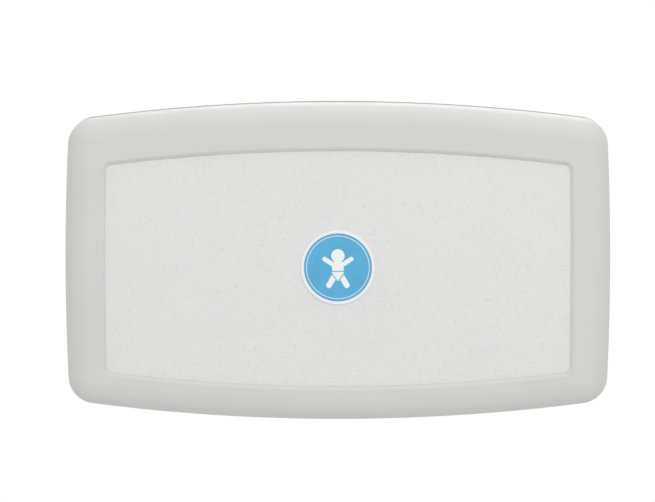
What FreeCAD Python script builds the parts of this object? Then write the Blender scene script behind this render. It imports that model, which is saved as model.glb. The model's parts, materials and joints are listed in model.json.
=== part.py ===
import FreeCAD, Part
import math
import os

# A horizontal fold-down changing station that is bolted to a wall. Millimetres.
# +X is right, +Z is up, the wall is the plane Y = 0 and the front faces -Y.
# The origin is the centre of the four wall-bolt holes, on the wall plane.
# The station is modelled closed. The bed turns about the hinge pin, which runs along X.

V = FreeCAD.Vector
TOLERANCE = 1e-6
MEETING_TURNS = 40  # turns that settle where two arcs cross

# ---- Overall size and outline ------------------------------------------------------------
WIDTH = 894.0
HEIGHT = 520.5
DEPTH = 102.0
CROWN_RADIUS = 3140.0  # bow of the top and bottom edges
SIDE_RADIUS = 4135.0  # bow of the left and right edges
CORNER_RADIUS = 45.0
FRONT_ROUND = 40.0  # softness of the front edge
SHELL_WALL = 4.0

# ---- Rear chassis ------------------------------------------------------------------------
CHASSIS_DEPTH = 44.0
PARTING_GAP = 2.0  # between the chassis and the closed bed
BACK_RECESS = 6.0  # room behind the chassis floor for the wall steel
FLOOR_THICKNESS = 4.0
POST_RADIUS = 12.0
RIB_THICKNESS = 3.0
RIB_DEPTH = 18.0
RIB_FROM_EDGE = 62.0
RIB_HALF_LENGTH = 120.0
PULL_HALF_WIDTH = 60.0  # finger pull in the top edge
PULL_DEPTH = 18.0
PULL_HEIGHT = 30.0

# ---- Wall steel --------------------------------------------------------------------------
PLATE = 3.0
STUD_SPACING = 406.4
UPRIGHT_WIDTH = 70.0
UPRIGHT_TOP_MARGIN = 45.0
UPPER_RAIL_HEIGHT = 40.0
LOWER_RAIL_HALF = 300.0
LOWER_RAIL_DROP = 15.0  # below the hinge axis
LOWER_RAIL_RISE = 45.0  # above the hinge axis
BOLT_HOLE_RADIUS = 4.5
BOLT_MARGIN = 20.0  # lower bolt above the lower rail
BOLT_ACCESS_RADIUS = 12.0
CHASSIS_SCREW_OFFSET = 50.0  # chassis screw from the wall bolt
PAD_RADIUS = 15.0
CHASSIS_HEAD_RADIUS = 7.5
CHASSIS_HEAD = 3.0

# ---- Hinge -------------------------------------------------------------------------------
HEEL = 35.25  # hinge axis above the lowest point of the bed
PIN_RADIUS = 3.0
PIN_OVERRUN = 1.5
BARREL_RADIUS = 6.0
RUNNING = 0.05  # radial clearance of every turning or sliding fit
HINGE_HALF = 250.0
KNUCKLES = 7
KNUCKLE_GAP = 0.6
LEAF = 2.0
LEAF_HEIGHT = 35.0
LEAF_RELIEF = 0.8
RIVET_RADIUS = 2.5
RIVET_HEAD_RADIUS = 5.0
RIVET_STEP = 110.0
RIVET_HEIGHT = 30.0

# ---- Gas springs -------------------------------------------------------------------------
LEVER_RADIUS = 22.0  # hinge axis to lever pin
LEVER_START = math.radians(-45.0)  # lever pin behind and below the axis when closed
LEVER_THICKNESS = 6.0
LEVER_HUB = 7.0
LEVER_END = 8.0
LEVER_GAP = 6.0  # lever outboard of the hinge
LEVER_FOOT = 22.0
LEVER_PIN = 4.0
EYE_WALL = 4.0
EYE_THICKNESS = 8.0
EYE_GAP = 2.0  # between the lever plate and the rod eye
EYE_LIFT = 1.0  # slack above and below the lever pin
EYE_END_GAP = 0.5
ROD_RADIUS = 4.0
CYLINDER_RADIUS = 11.0
CYLINDER_BORE = 9.0
CYLINDER_LENGTH = 120.0
CYLINDER_RISE = 32.0  # cylinder's lower end above the hinge axis
CYLINDER_CAP = 4.0
PISTON_LENGTH = 10.0
ROD_LENGTH = 62.0
CLAMP_WALL = 3.0
CLAMP_LENGTH = 14.0
CLAMP_MARGIN = 13.0
COVER_WALL = 2.0
COVER_FACE = 1.0  # thinner wall at the front
COVER_FRONT_GAP = 2.5  # cover's face in front of the clamps
COVER_HALF = 20.0
COVER_TOP_GAP = 9.0
COVER_MOUTH = 20.0  # cut-away above the hinge axis, for the lever's arm

# ---- Bed ---------------------------------------------------------------------------------
PANEL_SIDE_BORDER = 66.0
PANEL_TOP_BORDER = 79.0
PANEL_BOTTOM_BORDER = 56.0
PANEL_CROWN_RADIUS = 3060.0
PANEL_SIDE_RADIUS = 9000.0
PANEL_CORNER = 10.0
PANEL_THICKNESS = 3.0
PANEL_GAP = 0.4
RECESS_DEPTH = 5.0
RECESS_SLOPE = 5.0
BADGE_RADIUS = 60.5
BADGE_FACE_RADIUS = 55.5
BADGE_THICKNESS = 2.5
BADGE_ROUND = 0.8
BADGE_RECESS = 1.0
BADGE_FACE_THICKNESS = 0.8
BADGE_RISE = 2.5  # badge above the panel's centre
BADGE_GAP = 0.2
TRAY_THICKNESS = 3.0
TRAY_INSET = 0.5
BASIN_SIDE_BORDER = 97.0
BASIN_TOP_BORDER = 70.0
BASIN_ABOVE_HINGE = 60.0
BASIN_CORNER = 60.0
BASIN_SLOPE = 20.0
BASIN_ROUND = 12.0
BASIN_PANEL_GAP = 15.0  # behind the shell's recess
TUBE = 25.0
TUBE_WALL = 2.0
ARM_GAP = 9.0  # basin to side arm
RAIL_CLEARANCE = 3.0  # top rail below the inside of the shell's rounded edge
NOTCH_DROP = 14.0  # lever notch below the hinge axis
SCREW_RADIUS = 2.5
SCREW_HEAD_RADIUS = 5.0
SCREW_HEAD = 1.2
SCREW_LENGTH = 9.0
BUMPER_RADIUS = 7.0
BUMPER_GAP = 0.3
TRAY_SCREW_STEP = 120.0

# ---- Safety strap ------------------------------------------------------------------------
STRAP_HALF_WIDTH = 19.0
STRAP_THICKNESS = 1.5
ANCHOR_MARGIN = 40.0
ANCHOR_HALF = 16.0
ANCHOR_HALF_HEIGHT = 26.0
ANCHOR_THICKNESS = 3.0
ANCHOR_CORNER = 6.0
ANCHOR_SCREW_Z = 12.0
ANCHOR_SCREW_LENGTH = 7.0
SOCKET_LEFT = -28.0
SOCKET_RIGHT = 46.0
SOCKET_HALF_HEIGHT = 24.0
SOCKET_THICKNESS = 15.0
SOCKET_ROUND = 3.0
TONGUE_LENGTH = 34.0
TONGUE_THICKNESS = 11.0
TONGUE_GAP = 0.3
PRONG_LENGTH = 25.0
PRONG_HALF_HEIGHT = 12.0
PRONG_THICKNESS = 4.0
PRONG_CLEARANCE = 0.4
BUTTON_LEFT = 10.0
BUTTON_LENGTH = 22.0
BUTTON_HALF_HEIGHT = 9.0
BUTTON_THICKNESS = 4.0
BUTTON_TRAVEL = 2.5
BUTTON_PROUD = 2.0
BUTTON_ROUND = 1.0

# ---- Liner dispenser ---------------------------------------------------------------------
DOOR_TRAVEL = 100.0
BIN_HALF = 150.0
BIN_HEIGHT = 150.0
BIN_WALL = 2.5
STACK_THICKNESS = 22.0
STACK_HEIGHT = 108.0
STACK_GAP = 8.0
DOOR_THICKNESS = 2.5
DOOR_OVERLAP = 3.0
DOOR_GAP = 0.3
DOOR_FRONT_GAP = 1.5  # door behind the chassis front
LINER_SLOT = 20.0
GUIDE_WIDTH = 7.0
GUIDE_LIP = 1.0
GRIP_HALF = 30.0
GRIP_DROP = 36.0
GRIP_HEIGHT = 6.0
GRIP_REACH = 7.5
GRIP_ROUND = 2.0
LOCK_DROP = 14.0  # lock below the door's top edge
LOCK_RADIUS = 6.0
LOCK_RING_RADIUS = 10.0
LOCK_RING_DEPTH = 3.0
LOCK_RING_ROUND = 1.0
LOCK_HEAD_RADIUS = 8.0
LOCK_HEAD_DEPTH = 1.0
LOCK_BACK = 4.0
KEYWAY_HALF = 4.5
KEYWAY_WIDTH = 1.4
CAM_THICKNESS = 2.0
CAM_GAP = 0.6  # behind the door
CAM_HALF_WIDTH = 7.0
CAM_LENGTH = 24.0
CAM_NOTCH_HALF = 12.0
CAM_NOTCH_DEPTH = 5.0

# ---- Other fittings ----------------------------------------------------------------------
HOOK_FROM_BASIN = 30.0
HOOK_DROP = 130.0  # below the basin's top edge
HOOK_BASE_HALF = 14.0
HOOK_BASE_HALF_HEIGHT = 30.0
HOOK_HALF_WIDTH = 6.0
HOOK_REACH = 40.0
HOOK_ARM = 8.0
HOOK_TIP = 22.0
HOOK_ROUND = 2.0
HOOK_BASE = 3.0
HOOK_SCREW_Z = 22.0
LABEL_HALF_WIDTH = 120.0
LABEL_MARGIN = 30.0
LABEL_THICKNESS = 1.0
LABEL_CORNER = 8.0
STOP_X = 150.0
STOP_HALF_WIDTH = 15.0
STOP_HEIGHT = 12.0
CUT_OVER = 1.0  # how far a cutting tool runs past the face that it opens


# ---- Basic shapes ------------------------------------------------------------------------
def block(x0, x1, y0, y1, z0, z1):
    """A block between two corners."""
    return Part.makeBox(x1 - x0, y1 - y0, z1 - z0, V(x0, y0, z0))


def round_x(x0, x1, y, z, radius):
    """A cylinder along X."""
    return Part.makeCylinder(radius, x1 - x0, V(x0, y, z), V(1, 0, 0))


def round_y(y0, y1, x, z, radius):
    """A cylinder along Y."""
    return Part.makeCylinder(radius, y1 - y0, V(x, y0, z), V(0, 1, 0))


def round_z(z0, z1, x, y, radius):
    """A cylinder along Z."""
    return Part.makeCylinder(radius, z1 - z0, V(x, y, z0), V(0, 0, 1))


def joined(shapes):
    """Several touching solids as one clean solid."""
    first = shapes[0]
    return first.fuse(shapes[1:]).removeSplitter() if len(shapes) > 1 else first


def mirrored(shape):
    """The same piece on the other side of the YZ plane."""
    return shape.mirror(V(0, 0, 0), V(1, 0, 0))


def both_sides(shape):
    """A group of two solids: one on each side of the YZ plane."""
    return Part.makeCompound([shape, mirrored(shape)])


def edges_at(shape, y):
    """The edges that lie in the plane of that y."""
    return [e for e in shape.Edges if all(abs(v.Y - y) < TOLERANCE for v in e.Vertexes)]


def edges_through(plate):
    """The edges of a plate that run through its thickness, along Y."""
    return [e for e in plate.Edges if abs(e.Vertexes[0].Y - e.Vertexes[1].Y) > TOLERANCE]


def crown_sag(radius, x):
    """How far an arc of that radius has dropped at a distance x from its crown."""
    return radius - math.sqrt(radius * radius - x * x)


class Bow:
    """A rounded rectangle whose four edges are shallow outward arcs."""

    def __init__(self, half_width, half_height, centre_z, crown_radius, side_radius, corner_radius):
        self.half_width = half_width
        self.half_height = half_height
        self.centre_z = centre_z
        self.crown_radius = crown_radius
        self.side_radius = side_radius
        self.corner_radius = corner_radius

    def grown(self, margin):
        """The outline moved outwards by a margin, or inwards when it is negative."""
        return Bow(
            self.half_width + margin,
            self.half_height + margin,
            self.centre_z,
            self.crown_radius + margin,
            self.side_radius + margin,
            self.corner_radius + margin,
        )

    def meeting_point(self):
        """Where the top arc crosses the right arc, from the outline's centre."""
        x = self.half_width
        z = self.half_height
        for _ in range(MEETING_TURNS):
            z = self.half_height - crown_sag(self.crown_radius, x)
            x = self.half_width - crown_sag(self.side_radius, z)
        return x, z

    def corner_centre(self):
        """The centre of the upper right corner's arc, from the outline's centre."""
        return self.grown(-self.corner_radius).meeting_point()

    def wire(self, y):
        """The closed outline in the plane of that y."""
        cx, cz = self.corner_centre()
        top = on_circle(0.0, self.half_height - self.crown_radius, cx, cz, self.crown_radius)
        side = on_circle(self.half_width - self.side_radius, 0.0, cx, cz, self.side_radius)
        middle = ((top[0] + side[0]) / 2.0, (top[1] + side[1]) / 2.0)
        knee = on_circle(cx, cz, middle[0], middle[1], self.corner_radius)

        def at(x, z):
            return V(x, y, self.centre_z + z)

        arcs = [
            (at(-top[0], top[1]), at(0.0, self.half_height), at(top[0], top[1])),
            (at(top[0], top[1]), at(knee[0], knee[1]), at(side[0], side[1])),
            (at(side[0], side[1]), at(self.half_width, 0.0), at(side[0], -side[1])),
            (at(side[0], -side[1]), at(knee[0], -knee[1]), at(top[0], -top[1])),
            (at(top[0], -top[1]), at(0.0, -self.half_height), at(-top[0], -top[1])),
            (at(-top[0], -top[1]), at(-knee[0], -knee[1]), at(-side[0], -side[1])),
            (at(-side[0], -side[1]), at(-self.half_width, 0.0), at(-side[0], side[1])),
            (at(-side[0], side[1]), at(-knee[0], knee[1]), at(-top[0], top[1])),
        ]
        return Part.Wire([Part.Arc(*points).toShape() for points in arcs])

    def prism(self, y0, y1):
        """The outline carried straight from y0 to y1."""
        return Part.Face(self.wire(y0)).extrude(V(0, y1 - y0, 0))

    def softened(self, y0, y1, radius):
        """The prism with a rounded edge at its front, y0."""
        solid = self.prism(y0, y1)
        return solid.makeFillet(radius, edges_at(solid, y0))


def on_circle(centre_x, centre_z, through_x, through_z, radius):
    """The point of a circle on the ray from its centre through another point."""
    length = math.hypot(through_x - centre_x, through_z - centre_z)
    return (
        centre_x + (through_x - centre_x) * radius / length,
        centre_z + (through_z - centre_z) * radius / length,
    )


def tapered(front, y_front, back, y_back):
    """A solid that runs straight from one outline to another."""
    return Part.makeLoft([front.wire(y_front), back.wire(y_back)], True, True)


# ---- Places that several pieces share ----------------------------------------------------
OUTLINE = Bow(WIDTH / 2.0, HEIGHT / 2.0, 0.0, CROWN_RADIUS, SIDE_RADIUS, CORNER_RADIUS)
CHASSIS_FRONT = -CHASSIS_DEPTH
FLOOR_BACK = -BACK_RECESS
FLOOR_FRONT = FLOOR_BACK - FLOOR_THICKNESS
HINGE_Y = CHASSIS_FRONT - PARTING_GAP / 2.0
HINGE_Z = -HEIGHT / 2.0 + HEEL
CHASSIS_BOTTOM = HINGE_Z + BARREL_RADIUS
BED_BACK = CHASSIS_FRONT - PARTING_GAP
RIM_FRONT = BED_BACK - TRAY_THICKNESS
BED_FRONT = -DEPTH
PANEL_FRONT = BED_FRONT + RECESS_DEPTH
PANEL_BACK = PANEL_FRONT + PANEL_THICKNESS
RECESS_BACK = PANEL_BACK + SHELL_WALL

LOWER_RAIL_TOP = HINGE_Z + LOWER_RAIL_RISE
BOLT_X = STUD_SPACING / 2.0
BOLT_Z = -(LOWER_RAIL_TOP + BOLT_MARGIN)
UPRIGHT_TOP = HEIGHT / 2.0 - UPRIGHT_TOP_MARGIN
CHASSIS_SCREW_Z = BOLT_Z - CHASSIS_SCREW_OFFSET

PANEL_TOP = HEIGHT / 2.0 - PANEL_TOP_BORDER
PANEL_BOTTOM = -HEIGHT / 2.0 + PANEL_BOTTOM_BORDER
PANEL = Bow(
    WIDTH / 2.0 - PANEL_SIDE_BORDER,
    (PANEL_TOP - PANEL_BOTTOM) / 2.0,
    (PANEL_TOP + PANEL_BOTTOM) / 2.0,
    PANEL_CROWN_RADIUS,
    PANEL_SIDE_RADIUS,
    PANEL_CORNER,
)
BADGE_Z = PANEL.centre_z + BADGE_RISE

BASIN_TOP = HEIGHT / 2.0 - BASIN_TOP_BORDER
BASIN_BOTTOM = HINGE_Z + BASIN_ABOVE_HINGE
BASIN = Bow(
    WIDTH / 2.0 - BASIN_SIDE_BORDER,
    (BASIN_TOP - BASIN_BOTTOM) / 2.0,
    (BASIN_TOP + BASIN_BOTTOM) / 2.0,
    CROWN_RADIUS,
    SIDE_RADIUS,
    BASIN_CORNER,
)
BASIN_BACK = RECESS_BACK + BASIN_PANEL_GAP
BASIN_FLOOR = BASIN_BACK + TRAY_THICKNESS
STRAP_TOP = BASIN_FLOOR + STRAP_THICKNESS
PRONG_BACK = STRAP_TOP + (SOCKET_THICKNESS - PRONG_THICKNESS) / 2.0 - BUTTON_TRAVEL
ARM_INNER = BASIN.half_width + ARM_GAP + TRAY_THICKNESS
ARM_OUTER = ARM_INNER + TUBE
ARM_X = ARM_INNER + TUBE / 2.0
BED_RAIL_BOTTOM = HINGE_Z + LEVER_HUB
BED_RAIL_TOP = BED_RAIL_BOTTOM + TUBE
RAIL_REACH = BED_FRONT + FRONT_ROUND - (RIM_FRONT - TUBE)  # of the tubes into the shell's rounded edge
SHELL_CEILING = HEIGHT / 2.0 - SHELL_WALL - crown_sag(CROWN_RADIUS - SHELL_WALL, ARM_OUTER)
TOP_RAIL_TOP = SHELL_CEILING - crown_sag(FRONT_ROUND - SHELL_WALL, RAIL_REACH) - RAIL_CLEARANCE
TOP_RAIL_BOTTOM = TOP_RAIL_TOP - TUBE
LEAF_FACE = RIM_FRONT - LEAF  # front face of the moving leaf, which lies on the rim of the tray

LEVER_X0 = HINGE_HALF + LEVER_GAP
LEVER_X1 = LEVER_X0 + LEVER_THICKNESS
EYE_X0 = LEVER_X1 + EYE_GAP
EYE_X1 = EYE_X0 + EYE_THICKNESS
ROD_X = (EYE_X0 + EYE_X1) / 2.0
LEVER_PIN_Y = HINGE_Y + LEVER_RADIUS * math.cos(LEVER_START)
LEVER_PIN_Z = HINGE_Z + LEVER_RADIUS * math.sin(LEVER_START)
EYE_SLOT_NEAR = LEVER_PIN_Y - LEVER_PIN - EYE_END_GAP
EYE_SLOT_FAR = HINGE_Y + LEVER_RADIUS + LEVER_PIN + EYE_END_GAP
ROD_Y = (EYE_SLOT_NEAR + EYE_SLOT_FAR) / 2.0
EYE_HALF_HEIGHT = LEVER_PIN + EYE_LIFT + EYE_WALL
CYLINDER_BOTTOM = HINGE_Z + CYLINDER_RISE
CYLINDER_TOP = CYLINDER_BOTTOM + CYLINDER_LENGTH
COVER_INNER = COVER_HALF - COVER_WALL

BIN_TOP = BASIN_TOP - DOOR_TRAVEL
BIN_BOTTOM = BIN_TOP - BIN_HEIGHT
DOOR_FRONT = CHASSIS_FRONT + DOOR_FRONT_GAP
DOOR_BACK = DOOR_FRONT + DOOR_THICKNESS
BIN_FRONT = DOOR_BACK + DOOR_GAP
DOOR_BOTTOM = BIN_BOTTOM + LINER_SLOT
DOOR_TOP = BIN_TOP - BIN_WALL
LOCK_Z = DOOR_TOP - LOCK_DROP
HOOK_X = BASIN.half_width - HOOK_FROM_BASIN
HOOK_Z = BASIN_TOP - HOOK_DROP


# ---- Wall steel --------------------------------------------------------------------------
def wall_upright():
    """The right-hand steel upright, on a wall stud, with its two bolt holes."""
    plate = block(
        BOLT_X - UPRIGHT_WIDTH / 2.0, BOLT_X + UPRIGHT_WIDTH / 2.0, -PLATE, 0.0, LOWER_RAIL_TOP, UPRIGHT_TOP
    )
    for z in (-BOLT_Z, BOLT_Z):
        plate = plate.cut(round_y(-PLATE - CUT_OVER, CUT_OVER, BOLT_X, z, BOLT_HOLE_RADIUS))
    for z in (-CHASSIS_SCREW_Z, CHASSIS_SCREW_Z):
        plate = plate.cut(round_y(-PLATE - CUT_OVER, CUT_OVER, BOLT_X, z, SCREW_RADIUS))
    return plate


def leaf_rivet_places():
    """Where the fixed leaf is riveted to the lower rail, along X."""
    return [RIVET_STEP * i for i in range(-2, 3)]


def wall_rail_lower():
    """The steel plate that carries the hinge and the stop bumpers."""
    rail = block(
        -LOWER_RAIL_HALF, LOWER_RAIL_HALF, -PLATE, 0.0, HINGE_Z - LOWER_RAIL_DROP, LOWER_RAIL_TOP
    )
    for x in leaf_rivet_places():
        rail = rail.cut(round_y(-PLATE - CUT_OVER, CUT_OVER, x, HINGE_Z + RIVET_HEIGHT, RIVET_RADIUS))
    return rail


def wall_rail_upper():
    """The steel tie between the tops of the uprights."""
    half = BOLT_X - UPRIGHT_WIDTH / 2.0
    return block(-half, half, -PLATE, 0.0, UPRIGHT_TOP - UPPER_RAIL_HEIGHT, UPRIGHT_TOP)


# ---- Rear chassis ------------------------------------------------------------------------
def rear_chassis():
    """The moulded rear tray: rim wall, floor, bottom wall, corner posts, ribs and finger pull."""
    inner = OUTLINE.grown(-SHELL_WALL)
    body = OUTLINE.prism(CHASSIS_FRONT, 0.0)
    body = body.cut(inner.prism(CHASSIS_FRONT - CUT_OVER, FLOOR_FRONT))
    body = body.cut(inner.prism(FLOOR_BACK, CUT_OVER))
    body = body.cut(block(-WIDTH, WIDTH, CHASSIS_FRONT - CUT_OVER, CUT_OVER, -HEIGHT, CHASSIS_BOTTOM))
    sill = block(-WIDTH, WIDTH, CHASSIS_FRONT, FLOOR_BACK, CHASSIS_BOTTOM, CHASSIS_BOTTOM + SHELL_WALL)
    sill = sill.common(OUTLINE.grown(-SHELL_WALL / 2.0).prism(CHASSIS_FRONT, FLOOR_BACK))
    additions = [sill]
    corner_x, corner_z = OUTLINE.corner_centre()
    for x in (-corner_x, corner_x):
        for z in (-corner_z, corner_z):
            additions.append(round_y(CHASSIS_FRONT, FLOOR_FRONT, x, z, POST_RADIUS))
    rib_x = WIDTH / 2.0 - RIB_FROM_EDGE
    for x in (-rib_x, rib_x):
        additions.append(
            block(
                x - RIB_THICKNESS / 2.0,
                x + RIB_THICKNESS / 2.0,
                FLOOR_FRONT - RIB_DEPTH,
                FLOOR_FRONT,
                -RIB_HALF_LENGTH,
                RIB_HALF_LENGTH,
            )
        )
    for x in (-BOLT_X, BOLT_X):
        for z in (-CHASSIS_SCREW_Z, CHASSIS_SCREW_Z):
            additions.append(round_y(FLOOR_BACK, -PLATE, x, z, PAD_RADIUS))
    top = HEIGHT / 2.0
    pull_back = CHASSIS_FRONT + PULL_DEPTH
    cup = block(
        -PULL_HALF_WIDTH - SHELL_WALL,
        PULL_HALF_WIDTH + SHELL_WALL,
        CHASSIS_FRONT,
        pull_back + SHELL_WALL,
        top - PULL_HEIGHT - SHELL_WALL,
        top,
    )
    additions.append(cup.common(OUTLINE.grown(-SHELL_WALL / 2.0).prism(CHASSIS_FRONT, 0.0)))
    body = joined([body] + additions)
    scoop = block(
        -PULL_HALF_WIDTH,
        PULL_HALF_WIDTH,
        CHASSIS_FRONT - CUT_OVER,
        pull_back,
        top - PULL_HEIGHT,
        top + CUT_OVER,
    )
    body = body.cut(scoop)
    for side in (-1.0, 1.0):
        low = side * ROD_X - COVER_INNER
        body = body.cut(
            block(
                low,
                low + 2.0 * COVER_INNER,
                CHASSIS_FRONT - CUT_OVER,
                FLOOR_FRONT,
                CHASSIS_BOTTOM - CUT_OVER,
                CHASSIS_BOTTOM + SHELL_WALL + CUT_OVER,
            )
        )
    for x in (-BOLT_X, BOLT_X):
        for z in (-BOLT_Z, BOLT_Z):
            access = round_y(FLOOR_FRONT - CUT_OVER, FLOOR_BACK + CUT_OVER, x, z, BOLT_ACCESS_RADIUS)
            body = body.cut(access)
        for z in (-CHASSIS_SCREW_Z, CHASSIS_SCREW_Z):
            body = body.cut(round_y(FLOOR_FRONT - CUT_OVER, CUT_OVER, x, z, SCREW_RADIUS))
    return body


def headed_screw(x, z, y_seat, length, head_radius, head_height, radius):
    """A screw along +Y whose head stands on the -Y side of its seat."""
    head = round_y(y_seat - head_height, y_seat, x, z, head_radius)
    return joined([head, round_y(y_seat, y_seat + length, x, z, radius)])


def chassis_screws():
    """Four screws that hold the chassis to the uprights."""
    length = -FLOOR_FRONT - PLATE / 2.0
    return Part.makeCompound(
        [
            headed_screw(x, z, FLOOR_FRONT, length, CHASSIS_HEAD_RADIUS, CHASSIS_HEAD, SCREW_RADIUS)
            for x in (-BOLT_X, BOLT_X)
            for z in (-CHASSIS_SCREW_Z, CHASSIS_SCREW_Z)
        ]
    )


# ---- Hinge -------------------------------------------------------------------------------
def knuckle_spans(first):
    """The X spans of every second knuckle, starting with number first."""
    pitch = 2.0 * HINGE_HALF / KNUCKLES
    return [
        (-HINGE_HALF + pitch * i + KNUCKLE_GAP / 2.0, -HINGE_HALF + pitch * (i + 1) - KNUCKLE_GAP / 2.0)
        for i in range(first, KNUCKLES, 2)
    ]


def barrel(spans):
    """Knuckles without their bore."""
    return [round_x(a, b, HINGE_Y, HINGE_Z, BARREL_RADIUS) for a, b in spans]


def relieved(leaf, spans, back, rise):
    """A leaf cut away around the other leaf's knuckles."""
    reach = BARREL_RADIUS + LEAF_RELIEF
    front = HINGE_Y - reach
    low = HINGE_Z - reach
    for a, b in spans:
        leaf = leaf.cut(block(a - KNUCKLE_GAP, b + KNUCKLE_GAP, front, HINGE_Y + back, low, HINGE_Z + rise))
    return leaf


def fixed_hinge_leaf():
    """The angle leaf that is riveted to the lower rail and carries the fixed knuckles."""
    reach = BARREL_RADIUS + LEAF_RELIEF
    low = CHASSIS_BOTTOM - LEAF
    shelf = block(-HINGE_HALF, HINGE_HALF, HINGE_Y, -PLATE, low, CHASSIS_BOTTOM)
    upright = block(-HINGE_HALF, HINGE_HALF, -PLATE - LEAF, -PLATE, low, LOWER_RAIL_TOP)
    leaf = relieved(shelf.fuse(upright), knuckle_spans(1), reach, reach)
    leaf = joined([leaf] + barrel(knuckle_spans(0)))
    leaf = leaf.cut(round_x(-HINGE_HALF, HINGE_HALF, HINGE_Y, HINGE_Z, PIN_RADIUS))
    for x in leaf_rivet_places():
        leaf = leaf.cut(round_y(-PLATE - LEAF - CUT_OVER, CUT_OVER, x, HINGE_Z + RIVET_HEIGHT, RIVET_RADIUS))
    return leaf


def fixed_leaf_rivets():
    """Flat-headed rivets through the fixed leaf and the lower rail."""
    seat = -PLATE - LEAF
    head = BACK_RECESS - PLATE - LEAF
    return Part.makeCompound(
        [
            headed_screw(x, HINGE_Z + RIVET_HEIGHT, seat, -seat, RIVET_HEAD_RADIUS, head, RIVET_RADIUS)
            for x in leaf_rivet_places()
        ]
    )


def moving_hinge_leaf():
    """The flat leaf on the bed's bottom rail, with the moving knuckles."""
    reach = BARREL_RADIUS + LEAF_RELIEF
    plate = block(-HINGE_HALF, HINGE_HALF, LEAF_FACE, LEAF_FACE + LEAF, HINGE_Z, HINGE_Z + LEAF_HEIGHT)
    leaf = relieved(plate, knuckle_spans(0), reach, reach)
    leaf = joined([leaf] + barrel(knuckle_spans(1)))
    leaf = leaf.cut(round_x(-HINGE_HALF, HINGE_HALF, HINGE_Y, HINGE_Z, PIN_RADIUS + RUNNING))
    for x in leaf_rivet_places():
        leaf = leaf.cut(rail_rivet(x))
    return leaf


def rail_rivet(x):
    """A flush rivet through the moving leaf and the wall of the bottom rail."""
    return round_y(LEAF_FACE - TUBE_WALL, LEAF_FACE + LEAF, x, BED_RAIL_TOP - TUBE / 2.0, RIVET_RADIUS)


def hinge_pin():
    """The pin, which also carries the two spring levers."""
    half = LEVER_X1 + PIN_OVERRUN
    return round_x(-half, half, HINGE_Y, HINGE_Z, PIN_RADIUS)


def stop_bumpers():
    """Two rubber blocks that the bed's heel rests on when the bed is open."""
    heel = HEEL - crown_sag(CROWN_RADIUS, STOP_X - STOP_HALF_WIDTH)
    front = HINGE_Y + heel + BUMPER_GAP
    low = HINGE_Z - LOWER_RAIL_DROP
    one = block(STOP_X - STOP_HALF_WIDTH, STOP_X + STOP_HALF_WIDTH, front, -PLATE, low, low + STOP_HEIGHT)
    return both_sides(one)


# ---- Gas springs -------------------------------------------------------------------------
def spring_lever():
    """The right-hand bell crank: hub on the hinge pin, foot under the bed rail, arm to the rod eye."""
    hub = round_x(LEVER_X0, LEVER_X1, HINGE_Y, HINGE_Z, LEVER_HUB)
    end = round_x(LEVER_X0, LEVER_X1, LEVER_PIN_Y, LEVER_PIN_Z, LEVER_END)
    low = HINGE_Z - LEVER_HUB
    arm = block(LEVER_X0, LEVER_X1, HINGE_Y, HINGE_Y + LEVER_RADIUS, low, HINGE_Z + LEVER_HUB)
    arm.rotate(V(0, HINGE_Y, HINGE_Z), V(1, 0, 0), math.degrees(LEVER_START))
    foot = block(LEVER_X0, LEVER_X1, HINGE_Y - LEVER_FOOT, HINGE_Y, low, BED_RAIL_BOTTOM)
    bore = round_x(LEVER_X0 - CUT_OVER, LEVER_X1 + CUT_OVER, HINGE_Y, HINGE_Z, PIN_RADIUS + RUNNING)
    return joined([hub, end, arm, foot]).cut(bore).cut(lever_pin())


def lever_pin():
    """The right-hand pin that drives the rod eye."""
    return round_x(LEVER_X0, EYE_X1 + CUT_OVER, LEVER_PIN_Y, LEVER_PIN_Z, LEVER_PIN)


def rod_eye():
    """The right-hand slotted eye, which turns the lever's swing into the rod's stroke."""
    low = LEVER_PIN_Z - EYE_HALF_HEIGHT
    top = LEVER_PIN_Z + EYE_HALF_HEIGHT
    plate = block(EYE_X0, EYE_X1, EYE_SLOT_NEAR - EYE_WALL, EYE_SLOT_FAR + EYE_WALL, low, top)
    slot_radius = LEVER_PIN + EYE_LIFT
    slot = block(
        EYE_X0 - CUT_OVER,
        EYE_X1 + CUT_OVER,
        EYE_SLOT_NEAR,
        EYE_SLOT_FAR,
        LEVER_PIN_Z - slot_radius,
        LEVER_PIN_Z + slot_radius,
    )
    return plate.cut(slot)


def gas_rod():
    """The right-hand piston rod, with its piston."""
    low = LEVER_PIN_Z + EYE_HALF_HEIGHT
    top = low + ROD_LENGTH
    rod = round_z(low, top, ROD_X, ROD_Y, ROD_RADIUS)
    return joined([rod, round_z(top - PISTON_LENGTH, top, ROD_X, ROD_Y, CYLINDER_BORE - RUNNING)])


def gas_cylinder():
    """The right-hand cylinder, closed above and guided on the rod below."""
    tube = round_z(CYLINDER_BOTTOM, CYLINDER_TOP, ROD_X, ROD_Y, CYLINDER_RADIUS)
    bore_bottom = CYLINDER_BOTTOM + CYLINDER_CAP
    bore = round_z(bore_bottom, CYLINDER_TOP - CYLINDER_CAP, ROD_X, ROD_Y, CYLINDER_BORE)
    guide = round_z(CYLINDER_BOTTOM - CUT_OVER, bore_bottom + CUT_OVER, ROD_X, ROD_Y, ROD_RADIUS + RUNNING)
    return tube.cut(bore).cut(guide)


def cylinder_clamps():
    """Four blocks, two on each side, that hold the cylinders to the chassis floor."""
    half = CYLINDER_RADIUS + CLAMP_WALL
    blocks = []
    for z in (CYLINDER_BOTTOM + CLAMP_MARGIN, CYLINDER_TOP - CLAMP_MARGIN - CLAMP_LENGTH):
        one = block(ROD_X - half, ROD_X + half, ROD_Y - half, FLOOR_FRONT, z, z + CLAMP_LENGTH)
        one = one.cut(round_z(z - CUT_OVER, z + CLAMP_LENGTH + CUT_OVER, ROD_X, ROD_Y, CYLINDER_RADIUS))
        blocks += [one, mirrored(one)]
    return Part.makeCompound(blocks)


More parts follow.
